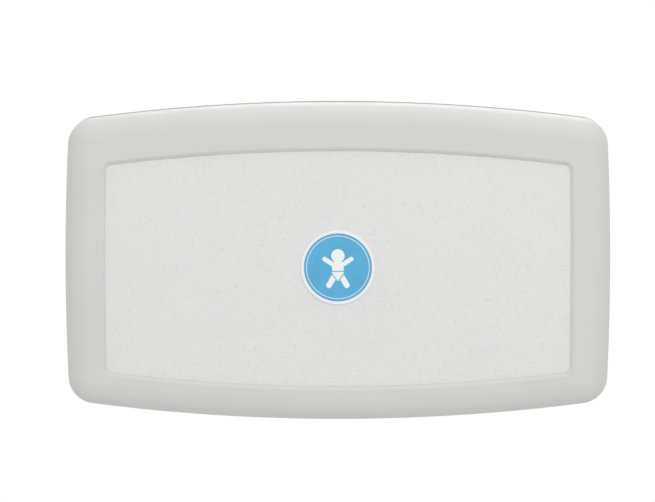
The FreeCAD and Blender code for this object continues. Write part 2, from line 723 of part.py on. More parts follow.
def spring_cover():
    """The right-hand moulded cover over a gas spring, open at its back and bottom."""
    front = ROD_Y - CYLINDER_RADIUS - CLAMP_WALL - COVER_FRONT_GAP
    low = CHASSIS_BOTTOM + SHELL_WALL
    top = CYLINDER_TOP + COVER_TOP_GAP
    outer = block(ROD_X - COVER_HALF, ROD_X + COVER_HALF, front, FLOOR_FRONT, low, top)
    rounded = [e for e in edges_at(outer, front) if max(v.Z for v in e.Vertexes) > low + CUT_OVER]
    outer = outer.makeFillet(COVER_WALL, rounded)
    inner = block(
        ROD_X - COVER_INNER,
        ROD_X + COVER_INNER,
        front + COVER_FACE,
        FLOOR_FRONT + CUT_OVER,
        low - CUT_OVER,
        top - COVER_WALL,
    )
    mouth = block(
        ROD_X - COVER_INNER,
        ROD_X + COVER_INNER,
        front - CUT_OVER,
        front + COVER_FACE + CUT_OVER,
        low - CUT_OVER,
        HINGE_Z + COVER_MOUTH,
    )
    return outer.cut(inner).cut(mouth)


# ---- Bed ---------------------------------------------------------------------------------
def bed_outer_shell():
    """The moulded front shell with its soft front edge and the recess for the inset panel."""
    outer = OUTLINE.softened(BED_FRONT, RIM_FRONT, FRONT_ROUND)
    cavity = OUTLINE.grown(-SHELL_WALL).softened(
        BED_FRONT + SHELL_WALL, RIM_FRONT + CUT_OVER, FRONT_ROUND - SHELL_WALL
    )
    pan = PANEL.grown(RECESS_SLOPE + SHELL_WALL).prism(BED_FRONT + SHELL_WALL - CUT_OVER, RECESS_BACK)
    over = RECESS_SLOPE * (RECESS_DEPTH + CUT_OVER) / RECESS_DEPTH
    recess = tapered(PANEL.grown(over), BED_FRONT - CUT_OVER, PANEL, PANEL_FRONT)
    seat = PANEL.prism(PANEL_FRONT, PANEL_BACK)
    return outer.cut(cavity.cut(pan)).cut(recess).cut(seat)


def inset_panel():
    """The textured panel that lies in the recess."""
    return PANEL.grown(-PANEL_GAP).prism(PANEL_FRONT, PANEL_BACK)


def badge_backing():
    """The round white badge plate, with a shallow recess for its face."""
    front = PANEL_FRONT - BADGE_THICKNESS
    plate = round_y(front, PANEL_FRONT, 0.0, BADGE_Z, BADGE_RADIUS)
    plate = plate.makeFillet(BADGE_ROUND, edges_at(plate, front))
    return plate.cut(
        round_y(front - CUT_OVER, front + BADGE_RECESS, 0.0, BADGE_Z, BADGE_FACE_RADIUS + BADGE_GAP)
    )


def badge_face():
    """The coloured disc in the badge plate."""
    back = PANEL_FRONT - BADGE_THICKNESS + BADGE_RECESS
    return round_y(back - BADGE_FACE_THICKNESS, back, 0.0, BADGE_Z, BADGE_FACE_RADIUS)


def tray_screw_places():
    """Where the tray is screwed to the steel frame, as (x, z)."""
    places = [(x, z) for x in (-ARM_X, ARM_X) for z in (-TRAY_SCREW_STEP, 0.0, TRAY_SCREW_STEP)]
    return places + [(x, TOP_RAIL_BOTTOM + TUBE / 2.0) for x in (-TRAY_SCREW_STEP, TRAY_SCREW_STEP)]


def drilled(shape, places, y0, y1, radius):
    """A shape with holes along Y."""
    for x, z in places:
        shape = shape.cut(round_y(y0, y1, x, z, radius))
    return shape


def changing_tray():
    """The tray that the child lies in: flat rim, sunk basin, and slots for hinge and levers."""
    rim = OUTLINE.grown(-TRAY_INSET).prism(RIM_FRONT, BED_BACK)
    floor_outline = BASIN.grown(-BASIN_SLOPE)
    outer_floor = floor_outline.grown(TRAY_THICKNESS)
    outside = tapered(outer_floor, BASIN_BACK, BASIN.grown(TRAY_THICKNESS), RIM_FRONT)
    outside = outside.makeFillet(BASIN_ROUND + TRAY_THICKNESS, edges_at(outside, BASIN_BACK))
    tray = joined([rim, outside])
    hollow = tapered(floor_outline, BASIN_FLOOR, BASIN, BED_BACK)
    hollow = hollow.makeFillet(BASIN_ROUND, edges_at(hollow, BASIN_FLOOR))
    tray = tray.cut(hollow)
    reach = BARREL_RADIUS + PARTING_GAP
    y0 = RIM_FRONT - CUT_OVER
    y1 = BED_BACK + CUT_OVER
    tray = tray.cut(block(-LEVER_X0, LEVER_X0, y0, y1, HINGE_Z - reach, HINGE_Z + reach))
    for side in (-1.0, 1.0):
        low = side * ROD_X - COVER_INNER
        tray = tray.cut(
            block(low, low + 2.0 * COVER_INNER, y0, y1, HINGE_Z - NOTCH_DROP, HINGE_Z + reach)
        )
    tray = drilled(tray, tray_screw_places(), y0, y1, SCREW_RADIUS)
    return drilled(tray, anchor_screw_places(), BASIN_BACK - CUT_OVER, BASIN_FLOOR + CUT_OVER, SCREW_RADIUS)


def tube_along_x(half_length, y, z):
    """A square steel tube centred on the YZ plane, from its least y and z."""
    outer = block(-half_length, half_length, y, y + TUBE, z, z + TUBE)
    over = half_length + CUT_OVER
    bore = TUBE - TUBE_WALL
    return outer.cut(block(-over, over, y + TUBE_WALL, y + bore, z + TUBE_WALL, z + bore))


def tube_along_z(x, y, z0, z1):
    """A square steel tube from z0 to z1, from its least x and y."""
    outer = block(x, x + TUBE, y, y + TUBE, z0, z1)
    bore = TUBE - TUBE_WALL
    return outer.cut(block(x + TUBE_WALL, x + bore, y + TUBE_WALL, y + bore, z0 - CUT_OVER, z1 + CUT_OVER))


def screwed_to_tray(tube):
    """A tube with the tray's screw holes in its back wall."""
    inside = RIM_FRONT - TUBE_WALL - CUT_OVER
    return drilled(tube, tray_screw_places(), inside, RIM_FRONT + CUT_OVER, SCREW_RADIUS)


def bed_bottom_rail():
    """The steel tube that the hinge leaf and the spring levers are fixed to."""
    rail = tube_along_x(ARM_OUTER, LEAF_FACE - TUBE, BED_RAIL_BOTTOM)
    for x in leaf_rivet_places():
        rail = rail.cut(rail_rivet(x))
    return rail


def bed_top_rail():
    """The steel tube under the tray's top rim."""
    return screwed_to_tray(tube_along_x(ARM_INNER, RIM_FRONT - TUBE, TOP_RAIL_BOTTOM))


def bed_side_arm():
    """The right-hand steel arm, from the bottom rail to the top rail."""
    return screwed_to_tray(tube_along_z(ARM_INNER, RIM_FRONT - TUBE, BED_RAIL_TOP, TOP_RAIL_TOP))


def moving_leaf_rivets():
    """Flush rivets that hold the moving leaf to the bottom rail."""
    return Part.makeCompound([rail_rivet(x) for x in leaf_rivet_places()])


def tray_screws():
    """Low-headed screws that hold the tray to the steel frame."""
    screws = []
    for x, z in tray_screw_places():
        head = round_y(BED_BACK, BED_BACK + SCREW_HEAD, x, z, SCREW_HEAD_RADIUS)
        shank = round_y(RIM_FRONT - SCREW_LENGTH, BED_BACK, x, z, SCREW_RADIUS)
        screws.append(joined([head, shank]))
    return Part.makeCompound(screws)


def closing_bumpers():
    """Four rubber discs that meet the chassis posts when the bed is closed."""
    corner_x, corner_z = OUTLINE.corner_centre()
    return Part.makeCompound(
        [
            round_y(BED_BACK, CHASSIS_FRONT - BUMPER_GAP, x, z, BUMPER_RADIUS)
            for x in (-corner_x, corner_x)
            for z in (-corner_z, corner_z)
        ]
    )


# ---- Safety strap ------------------------------------------------------------------------
def anchor_centre():
    """The distance of a strap anchor from the middle of the tray."""
    return BASIN.half_width - BASIN_SLOPE - ANCHOR_MARGIN


def anchor_screw_places():
    """The screws of both strap anchors, as (x, z)."""
    x = anchor_centre()
    return [(s * x, z) for s in (-1.0, 1.0) for z in (-ANCHOR_SCREW_Z, ANCHOR_SCREW_Z)]


def strap(inner_end):
    """A flat length of webbing from the right-hand anchor to its inner end."""
    outer_end = anchor_centre() + ANCHOR_HALF
    band = block(inner_end, outer_end, BASIN_FLOOR, STRAP_TOP, -STRAP_HALF_WIDTH, STRAP_HALF_WIDTH)
    return drilled(band, anchor_screw_places(), BASIN_FLOOR - CUT_OVER, STRAP_TOP + CUT_OVER, SCREW_RADIUS)


def strap_anchors():
    """The two plates that clamp the webbing to the tray."""
    x = anchor_centre()
    plate = block(
        x - ANCHOR_HALF,
        x + ANCHOR_HALF,
        STRAP_TOP,
        STRAP_TOP + ANCHOR_THICKNESS,
        -ANCHOR_HALF_HEIGHT,
        ANCHOR_HALF_HEIGHT,
    )
    plate = plate.makeFillet(ANCHOR_CORNER, edges_through(plate))
    places = [p for p in anchor_screw_places() if p[0] > 0.0]
    top = STRAP_TOP + ANCHOR_THICKNESS
    return both_sides(drilled(plate, places, STRAP_TOP - CUT_OVER, top + CUT_OVER, SCREW_RADIUS))


def anchor_screws():
    """Four screws through the anchors, the webbing and the tray's floor."""
    seat = STRAP_TOP + ANCHOR_THICKNESS
    screws = []
    for x, z in anchor_screw_places():
        head = round_y(seat, seat + SCREW_HEAD, x, z, SCREW_HEAD_RADIUS)
        shank = round_y(BASIN_BACK - ANCHOR_SCREW_LENGTH, seat, x, z, SCREW_RADIUS)
        screws.append(joined([head, shank]))
    return Part.makeCompound(screws)


def prong(clearance):
    """The flat prong of the buckle, or with a clearance the space that it slides in."""
    right = SOCKET_LEFT + PRONG_LENGTH
    return block(
        SOCKET_LEFT - TONGUE_GAP - CUT_OVER,
        right + clearance,
        PRONG_BACK - clearance,
        PRONG_BACK + PRONG_THICKNESS + clearance,
        -PRONG_HALF_HEIGHT - clearance,
        PRONG_HALF_HEIGHT + clearance,
    )


def buckle_socket():
    """The buckle half on the right-hand webbing, hollow for the prong and the button."""
    top = STRAP_TOP + SOCKET_THICKNESS
    body = block(SOCKET_LEFT, SOCKET_RIGHT, STRAP_TOP, top, -SOCKET_HALF_HEIGHT, SOCKET_HALF_HEIGHT)
    body = body.makeFillet(SOCKET_ROUND, edges_at(body, top))
    well_back = top + BUTTON_PROUD - BUTTON_THICKNESS - BUTTON_TRAVEL - PRONG_CLEARANCE
    well = block(
        BUTTON_LEFT - PRONG_CLEARANCE,
        BUTTON_LEFT + BUTTON_LENGTH + PRONG_CLEARANCE,
        well_back,
        top + CUT_OVER,
        -BUTTON_HALF_HEIGHT - PRONG_CLEARANCE,
        BUTTON_HALF_HEIGHT + PRONG_CLEARANCE,
    )
    return body.cut(prong(PRONG_CLEARANCE)).cut(well)


def buckle_tongue():
    """The buckle half that slides along the left-hand webbing."""
    right = SOCKET_LEFT - TONGUE_GAP
    low = BASIN_FLOOR + TONGUE_GAP
    top = STRAP_TOP + TONGUE_THICKNESS
    body = block(right - TONGUE_LENGTH, right, low, top, -SOCKET_HALF_HEIGHT, SOCKET_HALF_HEIGHT)
    body = body.makeFillet(SOCKET_ROUND, edges_at(body, top))
    channel_half = STRAP_HALF_WIDTH + TONGUE_GAP
    channel = block(
        right - TONGUE_LENGTH - CUT_OVER,
        right + CUT_OVER,
        low - CUT_OVER,
        STRAP_TOP + TONGUE_GAP,
        -channel_half,
        channel_half,
    )
    return joined([body.cut(channel), prong(0.0)])


def release_button():
    """The push button of the buckle."""
    top = STRAP_TOP + SOCKET_THICKNESS + BUTTON_PROUD
    button = block(
        BUTTON_LEFT,
        BUTTON_LEFT + BUTTON_LENGTH,
        top - BUTTON_THICKNESS,
        top,
        -BUTTON_HALF_HEIGHT,
        BUTTON_HALF_HEIGHT,
    )
    return button.makeFillet(BUTTON_ROUND, edges_at(button, top))


# ---- Liner dispenser ---------------------------------------------------------------------
def liner_bin():
    """The open-fronted bin, notched at its top for the lock's cam."""
    body = block(-BIN_HALF, BIN_HALF, BIN_FRONT, FLOOR_FRONT, BIN_BOTTOM, BIN_TOP)
    inner = block(
        -BIN_HALF + BIN_WALL,
        BIN_HALF - BIN_WALL,
        BIN_FRONT - CUT_OVER,
        FLOOR_FRONT - BIN_WALL,
        BIN_BOTTOM + BIN_WALL,
        BIN_TOP - BIN_WALL,
    )
    notch = block(
        -CAM_NOTCH_HALF,
        CAM_NOTCH_HALF,
        BIN_FRONT - CUT_OVER,
        BIN_FRONT + CAM_NOTCH_DEPTH,
        BIN_TOP - BIN_WALL - CUT_OVER,
        BIN_TOP + CUT_OVER,
    )
    return body.cut(inner).cut(notch)


def liner_stack():
    """The folded paper liners, as one block."""
    back = FLOOR_FRONT - BIN_WALL
    low = BIN_BOTTOM + BIN_WALL
    half = BIN_HALF - STACK_GAP
    return block(-half, half, back - STACK_THICKNESS, back, low, low + STACK_HEIGHT)


def door_guides():
    """The two grooved rails that the dispenser's door slides in."""
    rail = block(
        BIN_HALF,
        BIN_HALF + GUIDE_WIDTH,
        DOOR_FRONT - DOOR_GAP - GUIDE_LIP,
        FLOOR_FRONT,
        BIN_BOTTOM,
        BIN_TOP + DOOR_TRAVEL,
    )
    groove = block(
        BIN_HALF - CUT_OVER,
        BIN_HALF + DOOR_OVERLAP + DOOR_GAP,
        DOOR_FRONT - DOOR_GAP,
        DOOR_BACK + DOOR_GAP,
        BIN_BOTTOM - CUT_OVER,
        BIN_TOP + DOOR_TRAVEL + CUT_OVER,
    )
    return both_sides(rail.cut(groove))


def liner_door():
    """The sliding door with its finger ledge and the lock's hole."""
    half = BIN_HALF + DOOR_OVERLAP
    plate = block(-half, half, DOOR_FRONT, DOOR_BACK, DOOR_BOTTOM, DOOR_TOP)
    ledge_z = DOOR_TOP - GRIP_DROP
    ledge = block(
        -GRIP_HALF, GRIP_HALF, DOOR_FRONT - GRIP_REACH, DOOR_FRONT, ledge_z - GRIP_HEIGHT, ledge_z
    )
    ledge = ledge.makeFillet(GRIP_ROUND, edges_at(ledge, DOOR_FRONT - GRIP_REACH))
    hole = round_y(DOOR_FRONT - CUT_OVER, DOOR_BACK + CUT_OVER, 0.0, LOCK_Z, LOCK_RADIUS + RUNNING)
    return joined([plate, ledge]).cut(hole)


def lock_ring():
    """The ring that frames the lock on the door."""
    front = DOOR_FRONT - LOCK_RING_DEPTH
    ring = round_y(front, DOOR_FRONT, 0.0, LOCK_Z, LOCK_RING_RADIUS)
    ring = ring.makeFillet(LOCK_RING_ROUND, edges_at(ring, front))
    return ring.cut(round_y(front - CUT_OVER, DOOR_FRONT + CUT_OVER, 0.0, LOCK_Z, LOCK_RADIUS + RUNNING))


def lock_plug():
    """The turning plug, with its keyway."""
    seat = DOOR_FRONT - LOCK_RING_DEPTH - DOOR_GAP
    head = round_y(seat - LOCK_HEAD_DEPTH, seat, 0.0, LOCK_Z, LOCK_HEAD_RADIUS)
    body = round_y(seat, DOOR_BACK + LOCK_BACK, 0.0, LOCK_Z, LOCK_RADIUS)
    keyway = block(
        -KEYWAY_WIDTH / 2.0,
        KEYWAY_WIDTH / 2.0,
        seat - LOCK_HEAD_DEPTH - CUT_OVER,
        seat + LOCK_RING_DEPTH,
        LOCK_Z - KEYWAY_HALF,
        LOCK_Z + KEYWAY_HALF,
    )
    return joined([head, body]).cut(keyway)


def lock_cam():
    """The tongue behind the door, hanging down when the door is free."""
    near = DOOR_BACK + CAM_GAP
    far = near + CAM_THICKNESS
    disc = round_y(near, far, 0.0, LOCK_Z, LOCK_HEAD_RADIUS)
    arm = block(-CAM_HALF_WIDTH, CAM_HALF_WIDTH, near, far, LOCK_Z - CAM_LENGTH, LOCK_Z)
    cam = joined([disc, arm])
    return cam.cut(round_y(near - CUT_OVER, far + CUT_OVER, 0.0, LOCK_Z, LOCK_RADIUS))


# ---- Other fittings ----------------------------------------------------------------------
def hook_screw_places():
    """The screws of both bag hooks, as (x, z)."""
    return [(s * HOOK_X, HOOK_Z + dz) for s in (-1.0, 1.0) for dz in (-HOOK_SCREW_Z, HOOK_SCREW_Z)]


def bag_hook():
    """The right-hand bag hook: base plate, arm and upturned tip."""
    base = block(
        HOOK_X - HOOK_BASE_HALF,
        HOOK_X + HOOK_BASE_HALF,
        FLOOR_FRONT - HOOK_BASE,
        FLOOR_FRONT,
        HOOK_Z - HOOK_BASE_HALF_HEIGHT,
        HOOK_Z + HOOK_BASE_HALF_HEIGHT,
    )
    tip_front = FLOOR_FRONT - HOOK_REACH
    low = HOOK_Z - HOOK_ARM / 2.0
    left = HOOK_X - HOOK_HALF_WIDTH
    right = HOOK_X + HOOK_HALF_WIDTH
    arm = block(left, right, tip_front, FLOOR_FRONT - HOOK_BASE, low, low + HOOK_ARM)
    tip = block(left, right, tip_front, tip_front + HOOK_ARM, low, low + HOOK_TIP)
    bar = joined([arm, tip])
    bar = bar.makeFillet(HOOK_ROUND, edges_at(bar, tip_front))
    places = [p for p in hook_screw_places() if p[0] > 0.0]
    hook = joined([base, bar])
    return drilled(hook, places, FLOOR_FRONT - HOOK_BASE - CUT_OVER, FLOOR_FRONT + CUT_OVER, SCREW_RADIUS)


def hook_screws():
    """Four screws that hold the bag hooks."""
    seat = FLOOR_FRONT - HOOK_BASE
    length = HOOK_BASE
    return Part.makeCompound(
        [
            headed_screw(x, z, seat, length, SCREW_HEAD_RADIUS, SCREW_HEAD, SCREW_RADIUS)
            for x, z in hook_screw_places()
        ]
    )


def label_plate():
    """The instruction plate under the dispenser."""
    low = CHASSIS_BOTTOM + SHELL_WALL + LABEL_MARGIN
    top = BIN_BOTTOM - LABEL_MARGIN
    front = FLOOR_FRONT - LABEL_THICKNESS
    plate = block(-LABEL_HALF_WIDTH, LABEL_HALF_WIDTH, front, FLOOR_FRONT, low, top)
    return plate.makeFillet(min(LABEL_CORNER, (top - low) / 3.0), edges_through(plate))


# ---- The assembly ------------------------------------------------------------------------
def write(name, shape):
    """One node as a STEP file."""
    if not shape.isValid():
        print("invalid shape", name)
    shape.exportStep("parts/" + name + ".step")


def write_pair(name, shape):
    """The same piece on both sides, as two nodes."""
    write(name + "_right", shape)
    write(name + "_left", mirrored(shape))


def main():
    """Build every node."""
    os.makedirs("parts", exist_ok=True)
    write_pair("wall_upright", wall_upright())
    write("wall_rail_lower", wall_rail_lower())
    write("wall_rail_upper", wall_rail_upper())
    write("rear_chassis", rear_chassis())
    write("chassis_screws", chassis_screws())
    write("fixed_hinge_leaf", fixed_hinge_leaf())
    write("fixed_leaf_rivets", fixed_leaf_rivets())
    write("hinge_pin", hinge_pin())
    write("stop_bumpers", stop_bumpers())
    write_pair("gas_cylinder", gas_cylinder())
    write("cylinder_clamps", cylinder_clamps())
    write_pair("spring_cover", spring_cover())
    write("liner_bin", liner_bin())
    write("door_guides", door_guides())
    write("liner_stack", liner_stack())
    write("label_plate", label_plate())
    write_pair("bag_hook", bag_hook())
    write("hook_screws", hook_screws())

    write("liner_door", liner_door())
    write("lock_ring", lock_ring())
    write("lock_plug", lock_plug())
    write("lock_cam", lock_cam())

    write_pair("gas_rod", gas_rod())
    write_pair("rod_eye", rod_eye())

    write("bed_outer_shell", bed_outer_shell())
    write("inset_panel", inset_panel())
    write("badge_backing", badge_backing())
    write("badge_face", badge_face())
    write("changing_tray", changing_tray())
    write("bed_bottom_rail", bed_bottom_rail())
    write("bed_top_rail", bed_top_rail())
    write_pair("bed_side_arm", bed_side_arm())
    write("moving_hinge_leaf", moving_hinge_leaf())
    write("moving_leaf_rivets", moving_leaf_rivets())
    write_pair("spring_lever", spring_lever())
    write("lever_pins", both_sides(lever_pin()))
    write("tray_screws", tray_screws())
    write("closing_bumpers", closing_bumpers())

    write("strap_right", strap(SOCKET_LEFT + PRONG_LENGTH))
    write("strap_left", mirrored(strap(-SOCKET_LEFT + TONGUE_GAP)))
    write("strap_anchors", strap_anchors())
    write("anchor_screws", anchor_screws())
    write("buckle_socket", buckle_socket())
    write("buckle_tongue", buckle_tongue())
    write("release_button", release_button())


main()
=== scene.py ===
"""Looks of a wall-mounted, fold-down changing station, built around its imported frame.

Metres. +X is right, +Z is up, the wall is the plane Y = 0 and the front faces -Y. Every new piece is a
surface worked out with numpy from the frame's own boxes, and every finish is a node material on Object
coordinates or on an attribute.
"""

import enum
import json
import logging
import math
from dataclasses import dataclass, field

import bmesh
import bpy
import numpy as np
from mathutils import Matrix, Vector


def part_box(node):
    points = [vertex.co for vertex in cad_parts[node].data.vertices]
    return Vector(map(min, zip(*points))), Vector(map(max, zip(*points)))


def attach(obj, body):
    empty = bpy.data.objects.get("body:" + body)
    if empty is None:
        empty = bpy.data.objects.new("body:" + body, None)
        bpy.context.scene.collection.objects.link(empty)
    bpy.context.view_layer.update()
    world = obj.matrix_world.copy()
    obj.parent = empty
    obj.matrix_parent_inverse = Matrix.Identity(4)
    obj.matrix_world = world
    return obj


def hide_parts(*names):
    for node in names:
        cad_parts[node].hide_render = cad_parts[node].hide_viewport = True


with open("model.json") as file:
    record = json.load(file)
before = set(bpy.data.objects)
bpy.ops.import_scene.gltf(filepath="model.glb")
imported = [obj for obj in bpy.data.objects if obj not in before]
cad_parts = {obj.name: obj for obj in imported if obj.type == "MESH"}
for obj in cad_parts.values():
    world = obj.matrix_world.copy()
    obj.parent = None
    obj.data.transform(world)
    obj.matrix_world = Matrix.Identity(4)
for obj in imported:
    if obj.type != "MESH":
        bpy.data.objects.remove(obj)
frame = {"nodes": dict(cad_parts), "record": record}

Array = np.ndarray
Colour = tuple[float, float, float]
Material = bpy.types.Material
Mesh = bpy.types.Mesh
Socket = bpy.types.NodeSocket
MM = 0.001
MEETING_TURNS = 40  # turns that settle where two arcs cross
LOG = logging.getLogger("changing_station")


class Body(enum.Enum):
    """The moving bodies that a piece can ride on."""

    BASE = "base"
    BED = "bed"


class Slot(enum.Enum):
    """The record's material slots."""

    SHELL = "shell_plastic"
    CHASSIS = "chassis_plastic"
    PANEL = "panel_plastic"
    BADGE_WHITE = "badge_white"
    BADGE_BLUE = "badge_blue"
    LABEL = "label_vinyl"
    LINERS = "liner_paper"
    HOOK = "hook_plastic"
    WEBBING = "strap_webbing"
    BUCKLE = "buckle_plastic"
    BUTTON = "button_plastic"
    FRAME_STEEL = "frame_steel"
    FASTENER = "fastener_steel"
    CHROME = "chromed_steel"
    CYLINDER = "cylinder_paint"
    RUBBER = "rubber"


# ---- Node graphs -------------------------------------------------------------------------
class Graph:
    """A small builder for one material's node tree."""

    def __init__(self, name: str) -> None:
        """Start an empty material of that name with Object coordinates ready."""
        self.material = bpy.data.materials.new(name)
        self.material.use_nodes = True
        self.tree = self.material.node_tree
        self.tree.nodes.clear()
        self.place = self.node("ShaderNodeTexCoord").outputs["Object"]

    def node(self, kind: str) -> bpy.types.Node:
        """Add one node of a kind."""
        return self.tree.nodes.new(kind)

    def link(self, source: Socket, target: Socket) -> None:
        """Join an output to an input."""
        self.tree.links.new(source, target)

    def stretched(self, scale: tuple[float, float, float]) -> Socket:
        """Object coordinates scaled by a factor along each axis.

        Args:
            scale: the factors for X, Y and Z.

        Returns:
            The scaled coordinates.
        """
        mapping = self.node("ShaderNodeMapping")
        mapping.inputs["Scale"].default_value = scale
        self.link(self.place, mapping.inputs["Vector"])
        return mapping.outputs["Vector"]

    def noise(self, size: float, detail: float = 2.0, vector: Socket | None = None) -> Socket:
        """Fractal noise whose blobs are about one size across.

        Args:
            size: the blobs' width in metres.
            detail: how many finer layers are added.
            vector: other coordinates than the plain Object ones.

        Returns:
            The noise, about 0 to 1.
        """
        noise = self.node("ShaderNodeTexNoise")
        noise.inputs["Scale"].default_value = 1.0 / size
        noise.inputs["Detail"].default_value = detail
        self.link(vector or self.place, noise.inputs["Vector"])
        return noise.outputs["Fac"]

    def cells(self, size: float, output: str = "Distance") -> Socket:
        """Voronoi cells about one size across, as the distance or the colour of each cell."""
        cells = self.node("ShaderNodeTexVoronoi")
        cells.inputs["Scale"].default_value = 1.0 / size
        self.link(self.place, cells.inputs["Vector"])
        return cells.outputs[output]

    def spread(self, value: Socket, low: float, high: float, to_low: float, to_high: float) -> Socket:
        """A value carried linearly from one range to another and held at its ends."""
        ranged = self.node("ShaderNodeMapRange")
        for key, number in (("From Min", low), ("From Max", high), ("To Min", to_low), ("To Max", to_high)):
            ranged.inputs[key].default_value = number
        self.link(value, ranged.inputs["Value"])
        return ranged.outputs["Result"]

    def patches(
        self, size: float, detail: float, low: float, high: float, to_low: float = 0.0, to_high: float = 1.0
    ) -> Socket:
        """Noise whose blobs are about one size across, spread from one range to another."""
        return self.spread(self.noise(size, detail), low, high, to_low, to_high)

    def combine(self, kind: str, first: Socket, second: Socket) -> Socket:
        """Two values joined by a math operation of that name."""
        math_node = self.node("ShaderNodeMath")
        math_node.operation = kind
        self.link(first, math_node.inputs[0])
        self.link(second, math_node.inputs[1])
        return math_node.outputs["Value"]

    def tint(self, amount: Socket, first: Colour | Socket, second: Colour | Socket) -> Socket:
        """A mix of two colours by an amount.

        Args:
            amount: 0 for the first colour, 1 for the second.
            first: a colour, or an output that gives one.
            second: the same.

        Returns:
            The mixed colour.
        """
        mix = self.node("ShaderNodeMix")
        mix.data_type = "RGBA"
        self.link(amount, mix.inputs["Factor"])
        for key, colour in (("A", first), ("B", second)):
            socket = [s for s in mix.inputs if s.name == key and s.type == "RGBA"][0]
            if isinstance(colour, tuple):
                socket.default_value = (*colour, 1.0)
            else:
                self.link(colour, socket)
        return [s for s in mix.outputs if s.type == "RGBA"][0]

    def relief(self, height: Socket, depth: float, under: Socket | None = None) -> Socket:
        """A bumped normal.

        Args:
            height: the height, 0 to 1.
            depth: how high 1 stands, in metres.
            under: a normal that is already bumped.

        Returns:
            The bumped normal.
        """
        bump = self.node("ShaderNodeBump")
        bump.inputs["Distance"].default_value = depth
        self.link(height, bump.inputs["Height"])
        if under is not None:
            self.link(under, bump.inputs["Normal"])
        return bump.outputs["Normal"]

    def finish(self, colour: Socket, roughness: Socket, normal: Socket, **constants: float) -> Material:
        """Close the graph with a Principled shader.

        Args:
            colour: the base colour.
            roughness: the roughness.
            normal: the shading normal.
            constants: values set straight on the shader's sockets, with spaces in their names as underscores.

        Returns:
            The material.
        """
        shader = self.node("ShaderNodeBsdfPrincipled")
        self.link(colour, shader.inputs["Base Color"])
        self.link(roughness, shader.inputs["Roughness"])
        self.link(normal, shader.inputs["Normal"])
        for key, number in constants.items():
            shader.inputs[key.replace("_", " ")].default_value = number
        output = self.node("ShaderNodeOutputMaterial")
        self.link(shader.outputs["BSDF"], output.inputs["Surface"])
        return self.material


# ---- Finishes ----------------------------------------------------------------------------
def scaled(colour: Colour, factor: float) -> Colour:
    """A colour made darker or lighter by a factor, and no lighter than white."""
    return tuple(min(1.0, c * factor) for c in colour)


@dataclass(frozen=True)
class MouldedPlastic:
    """Moulded plastic: clouded colour, fine leathery grain, rubbed patches that shine a little more."""

    colour: Colour
    roughness: float = 0.5
    cloud: float = 0.03
    grain: float = 0.9 * MM
    grain_depth: float = 0.05 * MM
    rub: float = 0.08
    coat: float = 0.0
    shine: float = 0.5

    def material(self, name: str) -> Material:
        """Build the node material."""
        g = Graph(name)
        dark = scaled(self.colour, 1.0 - self.cloud)
        light = scaled(self.colour, 1.0 + self.cloud)
        clouds = g.patches(90.0 * MM, 4.0, 0.3, 0.7)
        dust = g.patches(2.2 * MM, 3.0, 0.35, 0.65, 0.35, 0.65)
        colour = g.tint(g.combine("MULTIPLY", clouds, dust), dark, light)
        wear = g.patches(35.0 * MM, 6.0, 0.45, 0.7, self.roughness, self.roughness - self.rub)
        pebbles = g.spread(g.cells(self.grain), 0.0, 0.7, 1.0, 0.0)
        waves = g.relief(g.noise(14.0 * MM, 2.0), 0.10 * MM)
        bumps = g.relief(pebbles, self.grain_depth, waves)
        return g.finish(colour, wear, bumps, Coat_Weight=self.coat, Specular_IOR_Level=self.shine)


@dataclass(frozen=True)
class FleckedInlay:
    """The inset panel's sheet: a pale ground, fine grey and white flecks and a pebbled face."""

    ground: Colour
    fleck: Colour
    bright: Colour
    roughness: float = 0.55

    def material(self, name: str) -> Material:
        """Build the node material."""
        g = Graph(name)
        shade = scaled(self.ground, 0.985)
        clouds = g.patches(120.0 * MM, 3.0, 0.3, 0.7)
        base = g.tint(clouds, shade, self.ground)
        fine = g.spread(g.noise(2.4 * MM, 2.0, g.stretched((1.0, 1.0, 0.6))), 0.60, 0.72, 0.0, 0.9)
        coarse = g.patches(4.4 * MM, 3.0, 0.66, 0.74)
        pale = g.patches(3.0 * MM, 1.0, 0.28, 0.36, 0.5, 0.0)
        flecked = g.tint(g.combine("MAXIMUM", fine, coarse), base, self.fleck)
        colour = g.tint(pale, flecked, self.bright)
        roughness = g.patches(20.0 * MM, 4.0, 0.3, 0.7, self.roughness - 0.06, self.roughness + 0.06)
        pebbles = g.spread(g.cells(1.7 * MM), 0.0, 0.7, 1.0, 0.0)
        waves = g.relief(g.noise(5.0 * MM, 2.0), 0.05 * MM)
        return g.finish(colour, roughness, g.relief(pebbles, 0.06 * MM, waves))


@dataclass(frozen=True)
class CoatedSteel:
    """Powder-coated steel: orange-peel skin and faint darker rubbing."""

    colour: Colour
    roughness: float = 0.42
    metallic: float = 0.0

    def material(self, name: str) -> Material:
        """Build the node material."""
        g = Graph(name)
        dark = scaled(self.colour, 0.86)
        rub = g.patches(18.0 * MM, 6.0, 0.35, 0.7)
        roughness = g.patches(9.0 * MM, 4.0, 0.3, 0.7, self.roughness - 0.07, self.roughness + 0.07)
        peel = g.relief(g.noise(0.9 * MM, 2.0), 0.05 * MM)
        colour = g.tint(rub, self.colour, dark)
        return g.finish(colour, roughness, peel, Metallic=self.metallic, Coat_Weight=0.15)


@dataclass(frozen=True)
class BareSteel:
    """Plated or polished steel: drawn lines along X, stains and small roughness changes."""

    colour: Colour
    roughness: float
    lines: float

    def material(self, name: str) -> Material:
        """Build the node material."""
        g = Graph(name)
        dark = scaled(self.colour, 0.82)
        stain = g.patches(6.0 * MM, 5.0, 0.35, 0.7)
        drawn = g.noise(1.0, 3.0, g.stretched((60.0, 2600.0, 2600.0)))
        roughness = g.spread(drawn, 0.3, 0.7, self.roughness * 0.8, self.roughness * 1.25)
        colour = g.tint(stain, self.colour, dark)
        return g.finish(colour, roughness, g.relief(drawn, self.lines), Metallic=1.0)


